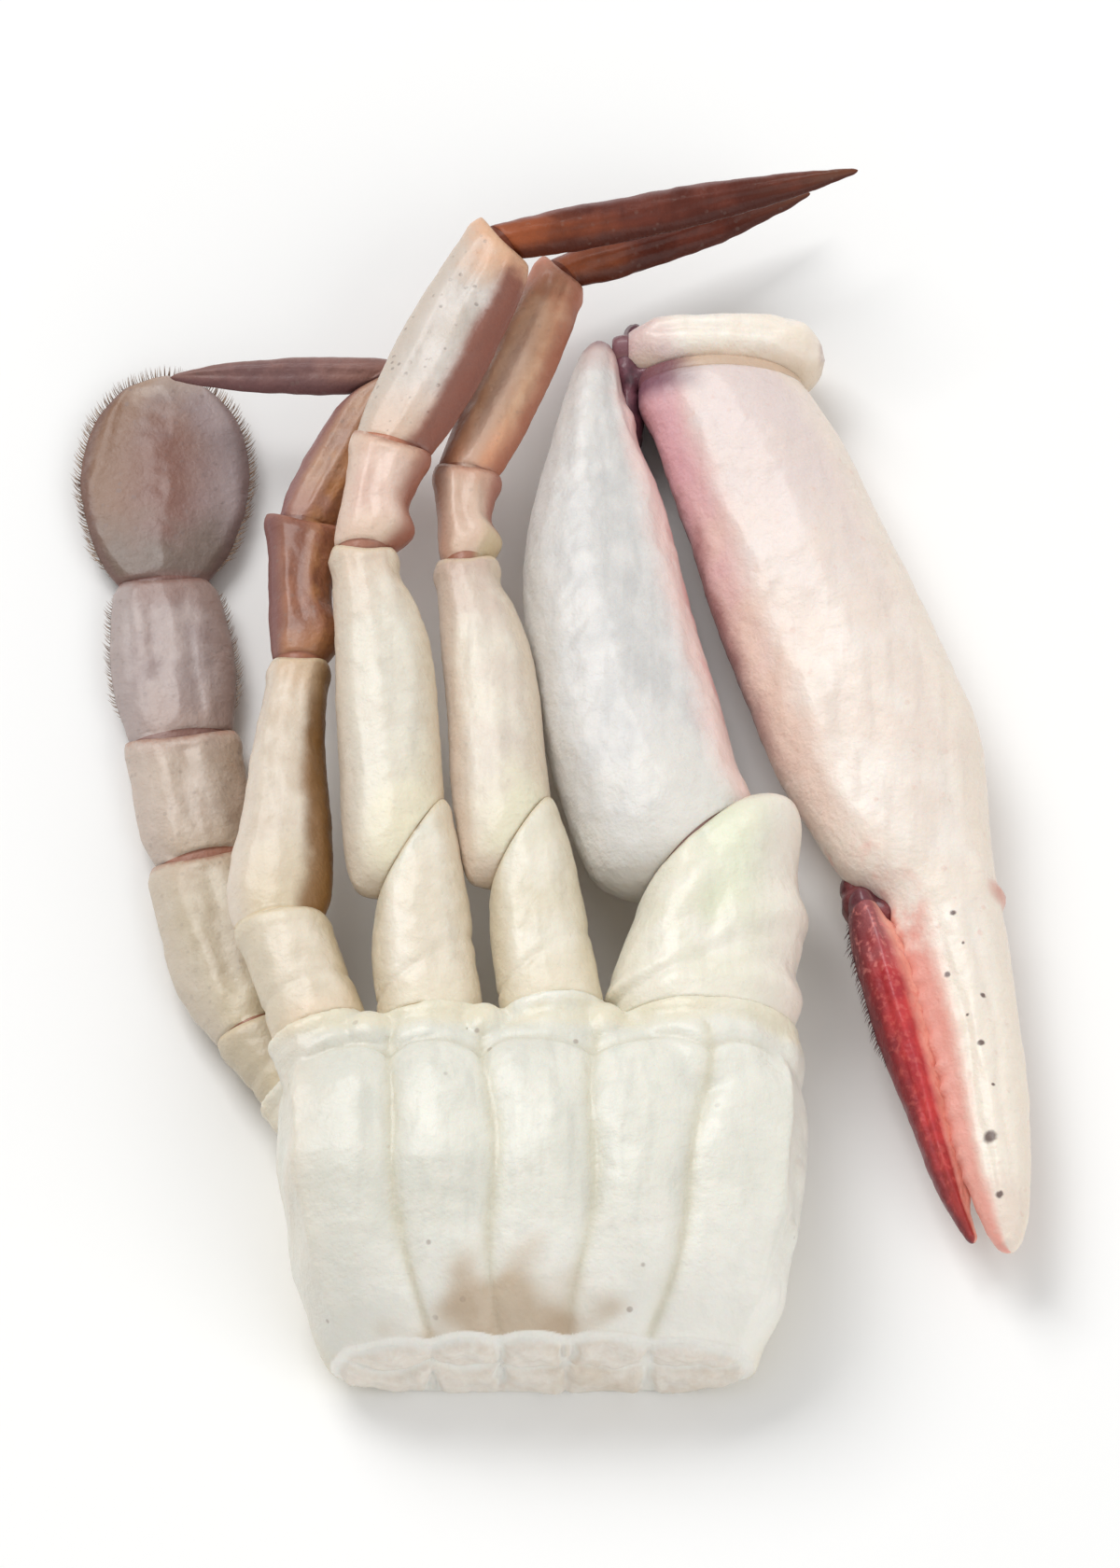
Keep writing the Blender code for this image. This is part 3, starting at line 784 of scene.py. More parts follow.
def body_box():
    """The shell box with its pillowed plates, as points and faces."""
    shares = np.linspace(0.0, 1.0, 90)
    sections = [body_section(share) for share in shares]
    grid = np.zeros((len(shares), len(sections[0]), 3))
    for row, (share, section) in enumerate(zip(shares, sections)):
        grid[row, :, 0] = section[:, 0]
        grid[row, :, 1] = CUT_Y + share * (LIMB_SIDE_Y - CUT_Y)
        grid[row, :, 2] = section[:, 1]
    return close_grid(grid), grid_faces(*grid.shape[:2])


def ball(middle, radii, rows=16, columns=24):
    """A stretched ball, as points and faces."""
    tilt = np.linspace(0.06, math.pi - 0.06, rows)[:, None]
    turn = (np.arange(columns) * math.tau / columns)[None, :]
    grid = np.stack([
        middle[0] + radii[0] * np.sin(tilt) * np.cos(turn),
        middle[1] + radii[1] * np.sin(tilt) * np.sin(turn),
        middle[2] - radii[2] * np.cos(tilt) * np.ones_like(turn),
    ], axis=-1)
    return close_grid(grid), grid_faces(rows, columns)


def hip(limb, seed):
    """The stub that carries a limb, from inside the body to its first joint."""
    first = limb.segments[0]
    hip_axis = direction(limb.hip_heading, 0.0)
    wider, deeper = first.width + HIP_MARGIN, first.thickness + HIP_MARGIN
    stub = Segment("hip", HIP_DEPTH, limb.hip_heading, 0.0, wider, deeper, "hip")
    joint_normal = unit(hip_axis + direction(first.heading, first.pitch))
    grid, _ = shape_piece(np.array(limb.root) - hip_axis * HIP_DEPTH, stub, hip_axis, joint_normal, seed)
    return close_grid(grid), grid_faces(*grid.shape[:2])


# Pads between the hips, and knobs down the mouth's side: middle and radii in mm
PADS = (
    ((-19.3, 16.2, 16.6), (3.4, 3.6, 3.4)), ((-6.6, 17.0, 17.6), (2.9, 3.4, 3.2)),
    ((7.0, 17.0, 17.4), (2.9, 3.6, 3.2)), ((27.0, 15.0, 12.6), (2.6, 4.2, 5.0)),
    ((27.6, 7.2, 12.0), (2.2, 3.4, 5.2)), ((27.2, 0.4, 13.0), (2.4, 3.0, 4.6)),
    ((26.2, -6.4, 13.0), (2.3, 3.2, 4.4)), ((24.4, -12.6, 11.0), (2.2, 2.8, 4.4)),
    ((-27.6, 9.4, 11.0), (2.0, 4.4, 5.0)), ((-27.2, 0.0, 11.6), (1.6, 4.0, 5.4)),
)
parts = [body_box()]
parts += [hip(limb, 50 + number) for number, limb in enumerate(LIMBS) if limb.hip_heading is not None]
parts += [ball(middle, radii) for middle, radii in PADS]
print("closed shapes in the body:", len(parts))

# %% Melt them into one skin


def melt(name, parts, voxel):
    """One skin round closed shapes that overlap, as an array of points and a list of faces."""
    points = np.concatenate([shape for shape, _ in parts])
    faces = []
    offset = 0
    for shape, shape_faces in parts:
        faces += [tuple(corner + offset for corner in face) for face in shape_faces]
        offset += len(shape)
    data = bpy.data.meshes.new(name)
    data.from_pydata(points.tolist(), [], faces)
    rough = bpy.data.objects.new(name, data)
    bpy.context.scene.collection.objects.link(rough)
    remesh = rough.modifiers.new("melt", "REMESH")
    remesh.mode = "VOXEL"
    remesh.voxel_size = voxel
    smooth = rough.modifiers.new("soften", "SMOOTH")
    smooth.factor = 0.5
    smooth.iterations = 3
    bpy.context.view_layer.update()
    skin = bpy.data.meshes.new_from_object(rough.evaluated_get(bpy.context.evaluated_depsgraph_get()))
    bpy.data.objects.remove(rough)
    skin_points = np.zeros(len(skin.vertices) * 3, np.float32)
    skin.vertices.foreach_get("co", skin_points)
    normals = np.zeros(len(skin.vertices) * 3, np.float32)
    skin.vertices.foreach_get("normal", normals)
    skin_faces = [tuple(face.vertices) for face in skin.polygons]
    return skin_points.reshape(-1, 3).astype(float), normals.reshape(-1, 3).astype(float), skin_faces


body_points, body_normals, body_faces = melt("body_rough", parts, VOXEL)
print("body points after the remesh:", len(body_points))

# %% [markdown]
# Seams, cut face and stains of the body
#
# The remesh rounds away what is finer than its voxels, so the thin seams come after it, by moving
# points along their normals. The cut face shows how such a half is made: the shell's rim, thin
# white walls that run in from the plates' seams, and the meat that bulges in each chamber.

# %% Where each point of the body lies, and its seams
SEAM_DEPTH = 0.17
ARCH_Y = 14.4
ARCH_DEPTH = 0.32
INNER_SEAM_Y = -9.5
INNER_SEAM_DEPTH = 0.08
WIDTH_STEPS = 101

share = np.clip((body_points[:, 1] - CUT_Y) / (LIMB_SIDE_Y - CUT_Y), 0.0, 1.0)
steps = np.linspace(0, 1, WIDTH_STEPS)
width_table = np.array([interpolate(BODY_HALF_WIDTHS, step)[0] for step in steps])
half_width = np.interp(share, steps, width_table)
on_width = np.clip(body_points[:, 0], -half_width, half_width)
place, from_edge = place_in_plates(on_width, share, half_width)
facing_up = ease(0.15, 0.6, body_normals[:, 2])
on_plates = facing_up * ease(LIMB_SIDE_Y - 1.0, LIMB_SIDE_Y - 4.0, body_points[:, 1])
on_plates *= ease(1.0, 0.9, np.abs(body_points[:, 0]) / half_width)
seam = on_plates * hump(from_edge, 0.0, 0.5) * (0.7 + 0.3 * lumps(body_points, 5.0, 21))
arch_line = ARCH_Y - 2.1 * place**2 + 0.4 * lumps(body_points, 9.0, 22)
arch = on_plates * hump(body_points[:, 1], arch_line, 0.55)
beyond_arch = on_plates * ease(arch_line, arch_line + 1.6, body_points[:, 1])
inner_line = INNER_SEAM_Y - 1.4 * place**2 + 0.8 * lumps(body_points, 9.0, 23)
inner_seam = on_plates * hump(body_points[:, 1], inner_line, 0.8) * (1.0 - 0.6 * np.abs(place))
sunk_seams = SEAM_DEPTH * seam + ARCH_DEPTH * arch + INNER_SEAM_DEPTH * inner_seam
print("points on a seam:", int((seam > 0.5).sum()))

# %% The cut face: rim, walls and bulging meat
WALL_WIDTH = 0.55
RIM_WIDTH = 1.1
MEAT_BULGE = 0.9


def distance_to_outline(points, outline):
    """Distance of each point of the cut face from the outline, both as x and z."""
    nearest = np.full(len(points), 99.0)
    for corner in outline:
        nearest = np.minimum(nearest, np.hypot(points[:, 0] - corner[0], points[:, 1] - corner[1]))
    return nearest


on_cut = ease(-0.75, -0.92, body_normals[:, 1]) * ease(CUT_Y + 0.9, CUT_Y + 0.4, body_points[:, 1])
outline = body_section(0.0)
from_outline = distance_to_outline(body_points[:, [0, 2]], outline)
from_rim = np.where(body_points[:, 1] < CUT_Y + 2.0, from_outline, 9.0)
wavy = 0.7 * lumps(body_points, 8.0, 24)
chamber_wall = hump(from_edge + wavy, 0.0, WALL_WIDTH)
cross_wall = hump(body_points[:, 2], 6.4 + 1.5 * place**2 + wavy, WALL_WIDTH)
wall = np.maximum(chamber_wall, cross_wall)
inside = ease(RIM_WIDTH * 0.6, RIM_WIDTH * 1.5, from_rim)
fibres = lumps(body_points * (1.5, 1.0, 0.9), 2.6, 7)
bulge = on_cut * inside * (1.0 - wall) * (MEAT_BULGE + 0.15 * fibres + 0.3 * lumps(body_points, 5.0, 8))
print("points on the cut face:", int((on_cut > 0.5).sum()))

# %% Move the points, then store the numbers that the body's finish reads
STAIN_MIDDLE = (-4.0, 1.5)
STAIN_RADII = (10.0, 6.0)
TALLEST = 24.0
WIDEST = 28.0

skin_lumps = 0.22 * lumps(body_points, 11.0, 3) + 0.05 * lumps(body_points, 4.0, 4)
skin_lumps += 0.015 * lumps(body_points, 1.6, 5)
flank = (1.0 - facing_up) * (1.0 - on_cut) * ease(1.0, 3.0, body_points[:, 2])
ribs = 0.34 * lumps(body_points * (0.3, 1.0, 0.3), 6.0, 12) * ease(20.0, 24.0, np.abs(body_points[:, 0]))
push = skin_lumps * (1 - on_cut) - sunk_seams + 0.25 * beyond_arch + bulge + flank * ribs
body_points += body_normals * push[:, None]
body_points[:, 2] = np.maximum(body_points[:, 2], 0.0)
stain_reach = np.hypot(
    (body_points[:, 0] - STAIN_MIDDLE[0]) / STAIN_RADII[0],
    (body_points[:, 1] - CUT_Y - STAIN_MIDDLE[1]) / STAIN_RADII[1],
)
stain = (1.0 - ease(0.2, 1.4, stain_reach + 0.3 * lumps(body_points, 7.0, 9))) * (1 - on_cut)
body_numbers = {
    "seam": np.clip(seam + 0.8 * arch + 0.3 * inner_seam, 0.0, 1.0),
    "valley": on_plates * np.abs(place) ** 3,
    "cut": on_cut,
    "wall": np.clip(np.maximum(wall, 1.0 - inside), 0.0, 1.0),
    "stain": stain,
    "hips": ease(LIMB_SIDE_Y - 4.5, LIMB_SIDE_Y - 1.0, body_points[:, 1]),
    "height": body_points[:, 2] / TALLEST,
    "along": share,
    "across": body_points[:, 0] / WIDEST,
}
PIECES["body_half"] = add_mesh("body_half_shell", body_points, body_faces, body_numbers)
print("body faces:", len(body_faces), "triangles:", sum(len(face) - 2 for face in body_faces))

# %% [markdown]
# Soft skin in the joints
#
# Where the wrist folds, and where the finger leaves the hand, dark soft skin shows between the hard
# pieces. A sculpt would do, but can't be repeated. So it is drawn from stretched balls that overlap,
# melted into one skin as the body is, and made uneven afterwards.

# %% Skin of the wrist and of the finger's joint
SKIN_VOXEL = 0.35

# Balls that make up each skin: middle and radii in mm
SKINS = {
    "wrist_skin": (
        ((9.8, 104.6, 4.4), (1.8, 6.4, 4.3)), ((9.6, 109.6, 5.0), (2.2, 4.4, 4.7)),
        ((13.0, 108.6, 5.2), (4.4, 1.7, 4.7)), ((10.3, 98.6, 3.6), (1.2, 6.4, 3.4)),
        ((10.6, 113.0, 5.6), (1.8, 3.0, 5.0)),
    ),
    "finger_joint_skin": (
        ((36.2, 39.6, 5.8), (2.4, 2.4, 3.0)), ((38.6, 38.4, 5.8), (2.4, 2.2, 3.0)),
        ((35.2, 42.0, 5.2), (1.5, 2.4, 2.4)),
    ),
}
for name, balls in SKINS.items():
    points, normals, faces = melt(name, [ball(middle, radii) for middle, radii in balls], SKIN_VOXEL)
    points += normals * (0.12 * lumps(points, 3.0, 31) + 0.05 * lumps(points, 1.2, 32))[:, None]
    points[:, 2] = np.maximum(points[:, 2], 0.0)
    PIECES[name] = add_mesh(name, points, faces, {})
print("skins:", len(SKINS), "faces of the last:", len(faces))

# %% [markdown]
# Bristles
#
# A fringe of short bristles widens the paddle in the water, and dark ones stand along the back of
# the finger. Hair curves are the usual way to make them, but a part has to be solid meshes, so
# each bristle is a bent spike with three sides. Its root lies inside the shell, and it leans
# towards the tip of its piece.

# %% Fringes along the edges of the paddle and of the finger


class Fringe(NamedTuple):
    """Bristles along the left (-1) or right (1) edge of a piece; length and spacing in mm."""

    node: str
    sides: tuple
    start: float
    end: float
    length: float
    spacing: float


FRINGES = {
    "paddle_fringe": Fringe("paddle_blade", (-1, 1), 0.03, 1.0, 1.7, 0.20),
    "paddle_hand_fringe": Fringe("paddle_propodus", (-1, 1), 0.12, 0.94, 1.3, 0.26),
    "finger_fringe": Fringe("claw_finger", (1,), 0.0, 0.45, 1.3, 0.24),
}
print("fringes:", list(FRINGES))

# %% Bristles one after another along an edge
BRISTLE_RADIUS = 0.065
BRISTLE_ROOT = 0.3
BRISTLE_LEAN = 0.8

# Bristles are short over this many mm at the ends of a fringe
BRISTLE_FADE = 2.2

# How far a root strays, in mm, and how far a bristle's heading does
ROOT_STRAY = 0.12
HEADING_STRAY = 0.22

# Corners 0 to 2 are the root ring, 3 to 5 the middle ring and 6 the tip
BRISTLE_FACES = np.array((
    (2, 1, 0), (0, 1, 4), (0, 4, 3), (1, 2, 5), (1, 5, 4), (2, 0, 3), (2, 3, 5),
    (3, 4, 6), (4, 5, 6), (5, 3, 6),
))
BRISTLE_POINTS = 7


def unit_rows(vectors):
    """Every row of an array at length 1."""
    return vectors / np.linalg.norm(vectors, axis=1, keepdims=True)


def bristles(fringe, seed):
    """Points of every bristle of a fringe: a root ring, a middle ring and a tip each."""
    grid, numbers = GRIDS[fringe.node]
    draw = np.random.default_rng(seed)
    along = numbers["along"][:, 0]
    rows = (numbers["sunk"][:, 0] == 0.0) & (along >= fringe.start) & (along <= fringe.end)
    axis = unit(grid[-1].mean(axis=0) - grid[0].mean(axis=0))
    upward = np.array((0.0, 0.0, 1.0))
    made = []
    for side in fringe.sides:
        edge = grid[rows, 0 if side > 0 else grid.shape[1] // 2]
        walked = np.concatenate([[0.0], np.cumsum(np.linalg.norm(np.diff(edge, axis=0), axis=1))])
        stops = np.arange(0.5 * fringe.spacing, walked[-1], fringe.spacing)
        root = np.stack([np.interp(stops, walked, edge[:, channel]) for channel in range(3)], axis=1)
        outward = side * unit_rows(np.cross(unit_rows(np.gradient(root, axis=0)), upward))
        root = root - BRISTLE_ROOT * outward + draw.uniform(-ROOT_STRAY, ROOT_STRAY, root.shape)
        stray = draw.uniform(-HEADING_STRAY, HEADING_STRAY, root.shape)
        heading = unit_rows(outward + BRISTLE_LEAN * axis + stray)
        grown = ease(0.0, BRISTLE_FADE, stops)
        if fringe.end < 1.0:
            grown *= ease(walked[-1], walked[-1] - BRISTLE_FADE, stops)
        visible = fringe.length * (0.35 + 0.65 * grown) * draw.uniform(0.7, 1.1, len(stops))
        length = (BRISTLE_ROOT + visible)[:, None]
        middle = root + 0.5 * length * heading
        tip = middle + 0.5 * length * unit_rows(heading + 0.5 * axis)
        first = unit_rows(np.cross(heading, upward))
        second = np.cross(heading, first)
        ring = [
            centre + BRISTLE_RADIUS * thickness * (math.cos(turn) * first + math.sin(turn) * second)
            for centre, thickness in ((root, 1.0), (middle, 0.75))
            for turn in (0.0, math.tau / 3.0, 2.0 * math.tau / 3.0)
        ]
        made.append(np.stack([*ring, tip], axis=1).reshape(-1, 3))
    return np.concatenate(made)


for number, (name, fringe) in enumerate(FRINGES.items()):
    points = bristles(fringe, 60 + number)
    points[:, 2] = np.maximum(points[:, 2], 0.02)
    faces = (np.arange(0, len(points), BRISTLE_POINTS)[:, None, None] + BRISTLE_FACES).reshape(-1, 3)
    PIECES[name] = add_mesh(name, points, faces.tolist(), {})
    print(name, "bristles:", len(points) // BRISTLE_POINTS)

# %% [markdown]
# Finishes
#
# Raw shell is thin, wet and a little see-through, so each finish is a Principled shader with some
# light scattered under the surface and a wet coat. The colours run along each piece: cream at
# the base, pink and red-brown towards the tip. They follow the numbers stored at the points, and
# noise breaks them up. Only the grain that is finer than the mesh is left to a Bump node: every
# ridge, seam and tooth is in the mesh. Two small classes keep this readable: one lets sockets be
# added and multiplied like numbers, and the other adds nodes.

# %% Shader sums as Python expressions


def colour(red, green, blue):
    """Linear colour from channels given from 0 to 255."""
    channels = []
    for channel in (red, green, blue):
        value = channel / 255
        channels.append(value / 12.92 if value <= 0.04045 else ((value + 0.055) / 1.055) ** 2.4)
    return (*channels, 1.0)


class Value:
    """A number in a material. Sums with it add Math nodes."""

    def __init__(self, finish, output):
        self.finish = finish
        self.output = output

    def math(self, operation, first, second):
        return self.finish.node("ShaderNodeMath", {"operation": operation}, {0: first, 1: second})

    def __add__(self, other):
        return self.math("ADD", self, other)

    def __radd__(self, other):
        return self.math("ADD", other, self)

    def __sub__(self, other):
        return self.math("SUBTRACT", self, other)

    def __rsub__(self, other):
        return self.math("SUBTRACT", other, self)

    def __mul__(self, other):
        return self.math("MULTIPLY", self, other)

    def __rmul__(self, other):
        return self.math("MULTIPLY", other, self)

    def above(self, low, high):
        """0 below low and 1 above high, or the other way round where low is the greater."""
        settings = {"interpolation_type": "SMOOTHSTEP"}
        return self.finish.node("ShaderNodeMapRange", settings, {0: self, 1: low, 2: high, 3: 0.0, 4: 1.0})


print("cream in linear light:", [round(channel, 2) for channel in colour(236, 228, 212)])

# %% A material that is built node by node
# How far light spreads under the shell: its red, green and blue share, and the reach in mm
SCATTER_COLOURS = (1.0, 0.66, 0.48)
SCATTER_REACH = 1.4
COAT_ROUGHNESS = 0.2
ROUGHNESS_SPREAD = 0.26
BUMP_STRENGTH = 0.8

# By how many mm noise frays the edge of a spot
FRAYED_EDGE = 0.3


class Finish:
    """A material under construction: a Principled shader and the nodes that feed it."""

    def __init__(self, name):
        self.material = bpy.data.materials.new(name)
        self.material.use_nodes = True
        self.nodes = self.material.node_tree.nodes
        self.links = self.material.node_tree.links
        self.shader = self.nodes["Principled BSDF"]
        self.places = self.node("ShaderNodeTexCoord", {}, {}, "Object")

    def node(self, kind, settings, inputs, output=0):
        """Adds a node with its settings, then its inputs as values or links, and gives an output."""
        made = self.nodes.new(kind)
        for key, value in settings.items():
            setattr(made, key, value)
        for key, value in inputs.items():
            self.feed(made.inputs[key], value)
        return Value(self, made.outputs[output])

    def feed(self, socket, value):
        """Links a Value to a socket, or sets the socket to a plain number or colour."""
        if isinstance(value, Value):
            self.links.new(value.output, socket)
        else:
            socket.default_value = value

    def number(self, name):
        """The number of that name stored at the mesh's points."""
        return self.node("ShaderNodeAttribute", {"attribute_name": name}, {}, "Fac")

    def noise(self, size, detail=3.0, stretch=(1.0, 1.0, 1.0)):
        """Cloudy noise from 0 to 1, of a size in millimetres."""
        scale = tuple(1.0 / (size * MM * way) for way in stretch)
        placed = self.node("ShaderNodeVectorMath", {"operation": "MULTIPLY"}, {0: self.places, 1: scale})
        return self.node("ShaderNodeTexNoise", {}, {"Vector": placed, "Scale": 1.0, "Detail": detail}, "Fac")

    def specks(self, size, radius):
        """Round specks, one to each cell of a size in millimetres."""
        scale = (1.0 / (size * MM),) * 3
        placed = self.node("ShaderNodeVectorMath", {"operation": "MULTIPLY"}, {0: self.places, 1: scale})
        inputs = {"Vector": placed, "Scale": 1.0, "Randomness": 1.0}
        distance = self.node("ShaderNodeTexVoronoi", {}, inputs, "Distance")
        return distance.above(radius, 0.55 * radius)

    def spots(self, spots, softness):
        """Round spots at places seen from above, each given as x, y and radius in millimetres."""
        ragged = self.noise(0.5, 2.0) * (FRAYED_EDGE * MM)
        without_height = {0: self.places, 1: (1.0, 1.0, 0.0)}
        flat = self.node("ShaderNodeVectorMath", {"operation": "MULTIPLY"}, without_height)
        total = 0.0
        for x, y, radius in spots:
            inputs = {0: flat, 1: (x * MM, y * MM, 0.0)}
            away = self.node("ShaderNodeVectorMath", {"operation": "DISTANCE"}, inputs, "Value") + ragged
            reach = (radius + 0.5 * FRAYED_EDGE) * MM
            outer, inner = reach * (1.0 + 0.5 * softness), reach * (1.0 - 0.5 * softness)
            total = away.above(outer, inner) + total
        return total

    def mix(self, factor, first, second):
        """The first colour where the factor is 0 and the second where it is 1."""
        inputs = {"Factor": factor, 6: first, 7: second}
        return self.node("ShaderNodeMix", {"data_type": "RGBA"}, inputs, 2)

    def wet_shell(self, base, fine, depth, scatter, dryness, coat, shine):
        """Feeds the shader: its colour, roughness, fine relief, scattered light and wet coat."""
        self.feed(self.shader.inputs["Base Color"], base)
        self.feed(self.shader.inputs["Roughness"], dryness + ROUGHNESS_SPREAD * fine)
        self.shader.inputs["Subsurface Weight"].default_value = scatter
        self.shader.inputs["Subsurface Radius"].default_value = SCATTER_COLOURS
        self.shader.inputs["Subsurface Scale"].default_value = SCATTER_REACH * MM
        self.shader.inputs["Coat Weight"].default_value = coat
        self.shader.inputs["Coat Roughness"].default_value = COAT_ROUGHNESS
        self.shader.inputs["Specular IOR Level"].default_value = shine
        height = fine * 0.6 + self.noise(2.6, 2.0) * 1.2 + self.noise(0.4, 2.0) * 0.35
        inputs = {"Height": height, "Strength": BUMP_STRENGTH, "Distance": depth * MM}
        bump = self.node("ShaderNodeBump", {}, inputs, "Normal")
        self.feed(self.shader.inputs["Normal"], bump)
        return self.material


print("reach of light under the shell, in mm:", SCATTER_REACH)

# %% [markdown]
# Colours in layers
#
# One ramp of colour can't follow a real shell: a leg is cream at its base, pink along one edge,
# brown at its tip and dark inside its joint, each with its own soft border. Painting it by hand
# needs a picture. So a finish starts from two colours that mottle each other, with faint streaks
# that run from front to back, and then lays thin layers over them. A layer is a colour, a strength
# and its bounds: ("along", 0.68, 1.0) fades it in from 0.68 to 1 of the length, and with the
# greater bound first it fades out. Several bounds are multiplied, so a layer can lie on the left
# side of the tip alone. The names are those of the numbers stored at the points: "edge" is 1 at
# both sides, "sunk" is 1 inside a joint, and "to_start" and "to_end" are millimetres from an end.
# Four more aren't stored: "cloud" and "fine" break a layer up by the noise of the mottling and
# of the fine grain, "specks" makes dots of it, and "spots" makes round spots at given places.

# %% One finish from two base colours and a list of layers
CLOUD_BOUNDS = (0.36, 0.64)
STREAK_BOUNDS = (0.46, 0.70)
STREAK_STRENGTH = 0.5

# How dark the streaks are beside the darker of the two base colours
STREAK_SHADE = 0.94


def shell_finish(
    name, light, dark, layers, cloud_size=6.0, depth=0.28, scatter=0.25, dryness=0.36, coat=0.36, shine=0.46,
):
    """Mottled and streaked shell under its layers, as a wet material."""
    finish = Finish(name)
    cloud = finish.noise(cloud_size, 4.0)
    fine = finish.noise(0.9, 4.0)
    wander = (cloud - 0.5) * 0.35
    noises = {"cloud": cloud, "fine": fine}
    streak = finish.noise(1.6, 3.0, stretch=(1.0, 7.0, 1.0))
    base = finish.mix(cloud.above(*CLOUD_BOUNDS), colour(*light), colour(*dark))
    streak_colour = colour(*(channel * STREAK_SHADE for channel in dark))
    base = finish.mix(streak.above(*STREAK_BOUNDS) * STREAK_STRENGTH, base, streak_colour)
    for shade, strength, *bounds in layers:
        mask = strength
        for key, low, high in bounds:
            if key == "specks":
                where = finish.specks(low, high)
            elif key == "spots":
                where = finish.spots(low, high)
            elif key in noises:
                where = noises[key].above(low, high)
            elif key in ("along", "across", "above"):
                where = (finish.number(key) + wander).above(low, high)
            else:
                where = finish.number(key).above(low, high)
            mask = where * mask
        base = finish.mix(mask, base, colour(*shade))
    return finish.wet_shell(base, fine, depth, scatter, dryness, coat, shine)


SPECKLE = (132, 116, 108)


def limb_layers(root, tip, left, right, under, rim, speckle):
    """The layers that every tube of a limb has: ends, edges, floor side, speckle, rim and neck."""
    return [
        (root, 0.85, ("along", 0.32, 0.0)),
        (tip, 0.85, ("along", 0.68, 1.0)),
        (left, 0.85, ("across", -0.45, -0.95)),
        (right, 0.85, ("across", 0.45, 0.95)),
        (under, 0.85, ("above", -0.05, -0.75)),
        (SPECKLE, speckle, ("specks", 1.3, 0.26), ("fine", 0.4, 0.6)),
        (rim, 0.55, ("to_end", 1.1, 0.1), ("fine", 0.2, 0.6)),
        (rim, 0.9, ("sunk", 0.0, 1.0)),
    ]


print("layers that every tube of a limb has:", len(limb_layers(*[SPECKLE] * 6, 0.0)))

# %% The layers of the body, the arm, the hand, the finger and the blade
# Dark spots on the upper face of the fixed finger: x, y and radius in mm
FINGER_SPOTS = (
    (46.3, 35.0, 0.32), (45.6, 27.6, 0.34), (49.6, 24.8, 0.30), (49.3, 18.8, 0.36), (50.2, 7.2, 0.72),
    (51.2, 0.2, 0.4), (47.4, 31.2, 0.18), (50.6, 13.6, 0.2), (47.8, 22.4, 0.16),
)
BODY_LAYERS = [
    # Mottling, a paler side, painted light on the end by the cut, and a duller side
    ((241, 233, 222), 0.5, ("cloud", 0.56, 0.72), ("fine", 0.3, 0.7)),
    ((214, 218, 206), 0.4, ("cloud", 0.40, 0.30)),
    ((240, 238, 227), 0.5, ("across", 0.25, 0.75)),
    ((250, 247, 239), 0.6, ("along", 0.42, 0.06)),
    ((216, 214, 202), 0.6, ("across", -0.4, -0.9)),
    # Painted shade, tinted yellow, in the valleys; yellow round the hips; and faint seams
    ((214, 206, 178), 0.42, ("valley", 0.3, 1.0)),
    ((236, 224, 190), 0.55, ("hips", 0.0, 1.0), ("cloud", 0.35, 0.6)),
    ((222, 202, 158), 0.8, ("hips", 0.2, 1.0), ("height", 0.55, 0.2)),
    ((206, 198, 172), 0.32, ("seam", 0.1, 0.9)),
    # The flank, the stain by the cut and a few specks
    ((226, 198, 168), 0.3, ("across", -0.80, -1.0), ("cloud", 0.25, 0.75)),
    ((226, 214, 184), 0.7, ("height", 0.42, 0.1)),
    ((204, 184, 158), 0.9, ("stain", 0.0, 0.75)),
    ((172, 142, 110), 0.5, ("stain", 0.25, 0.95), ("cloud", 0.34, 0.66)),
    ((132, 104, 90), 0.5, ("specks", 4.2, 0.11), ("cloud", 0.48, 0.6)),
    # The cut face: meat, its mottling, and white walls and rim
    ((234, 227, 216), 1.0, ("cut", 0.0, 1.0)),
    ((222, 210, 196), 0.6, ("cut", 0.0, 1.0), ("fine", 0.35, 0.75)),
    ((214, 196, 172), 0.5, ("cut", 0.0, 1.0), ("cloud", 0.5, 0.7)),
    ((243, 241, 233), 0.9, ("cut", 0.0, 1.0), ("wall", 0.2, 0.9)),
]
ARM_LAYERS = [
    # Base, wrist end and the side towards the legs
    ((232, 228, 219), 0.8, ("along", 0.26, 0.04)),
    ((218, 196, 190), 0.85, ("along", 0.84, 0.99)),
    ((216, 212, 206), 0.7, ("across", -0.35, -0.95)),
    # The pink edge beside the hand, the floor side, and painted shade: a dark stripe low on the side that
    # faces the hand
    ((248, 216, 208), 0.85, ("across", 0.50, 0.90)),
    ((222, 150, 150), 0.6, ("across", 0.90, 1.04), ("along", 0.1, 0.25)),
    ((214, 204, 186), 0.8, ("above", -0.2, -0.8)),
    ((112, 58, 62), 0.9, ("across", 0.62, 0.98), ("above", 0.0, -0.32)),
    # Purple where the wrist folds, and brown inside the joint
    ((126, 70, 84), 0.8, ("to_end", 3.4, 1.0)),
    ((140, 90, 80), 0.9, ("sunk", 0.0, 1.0)),
]
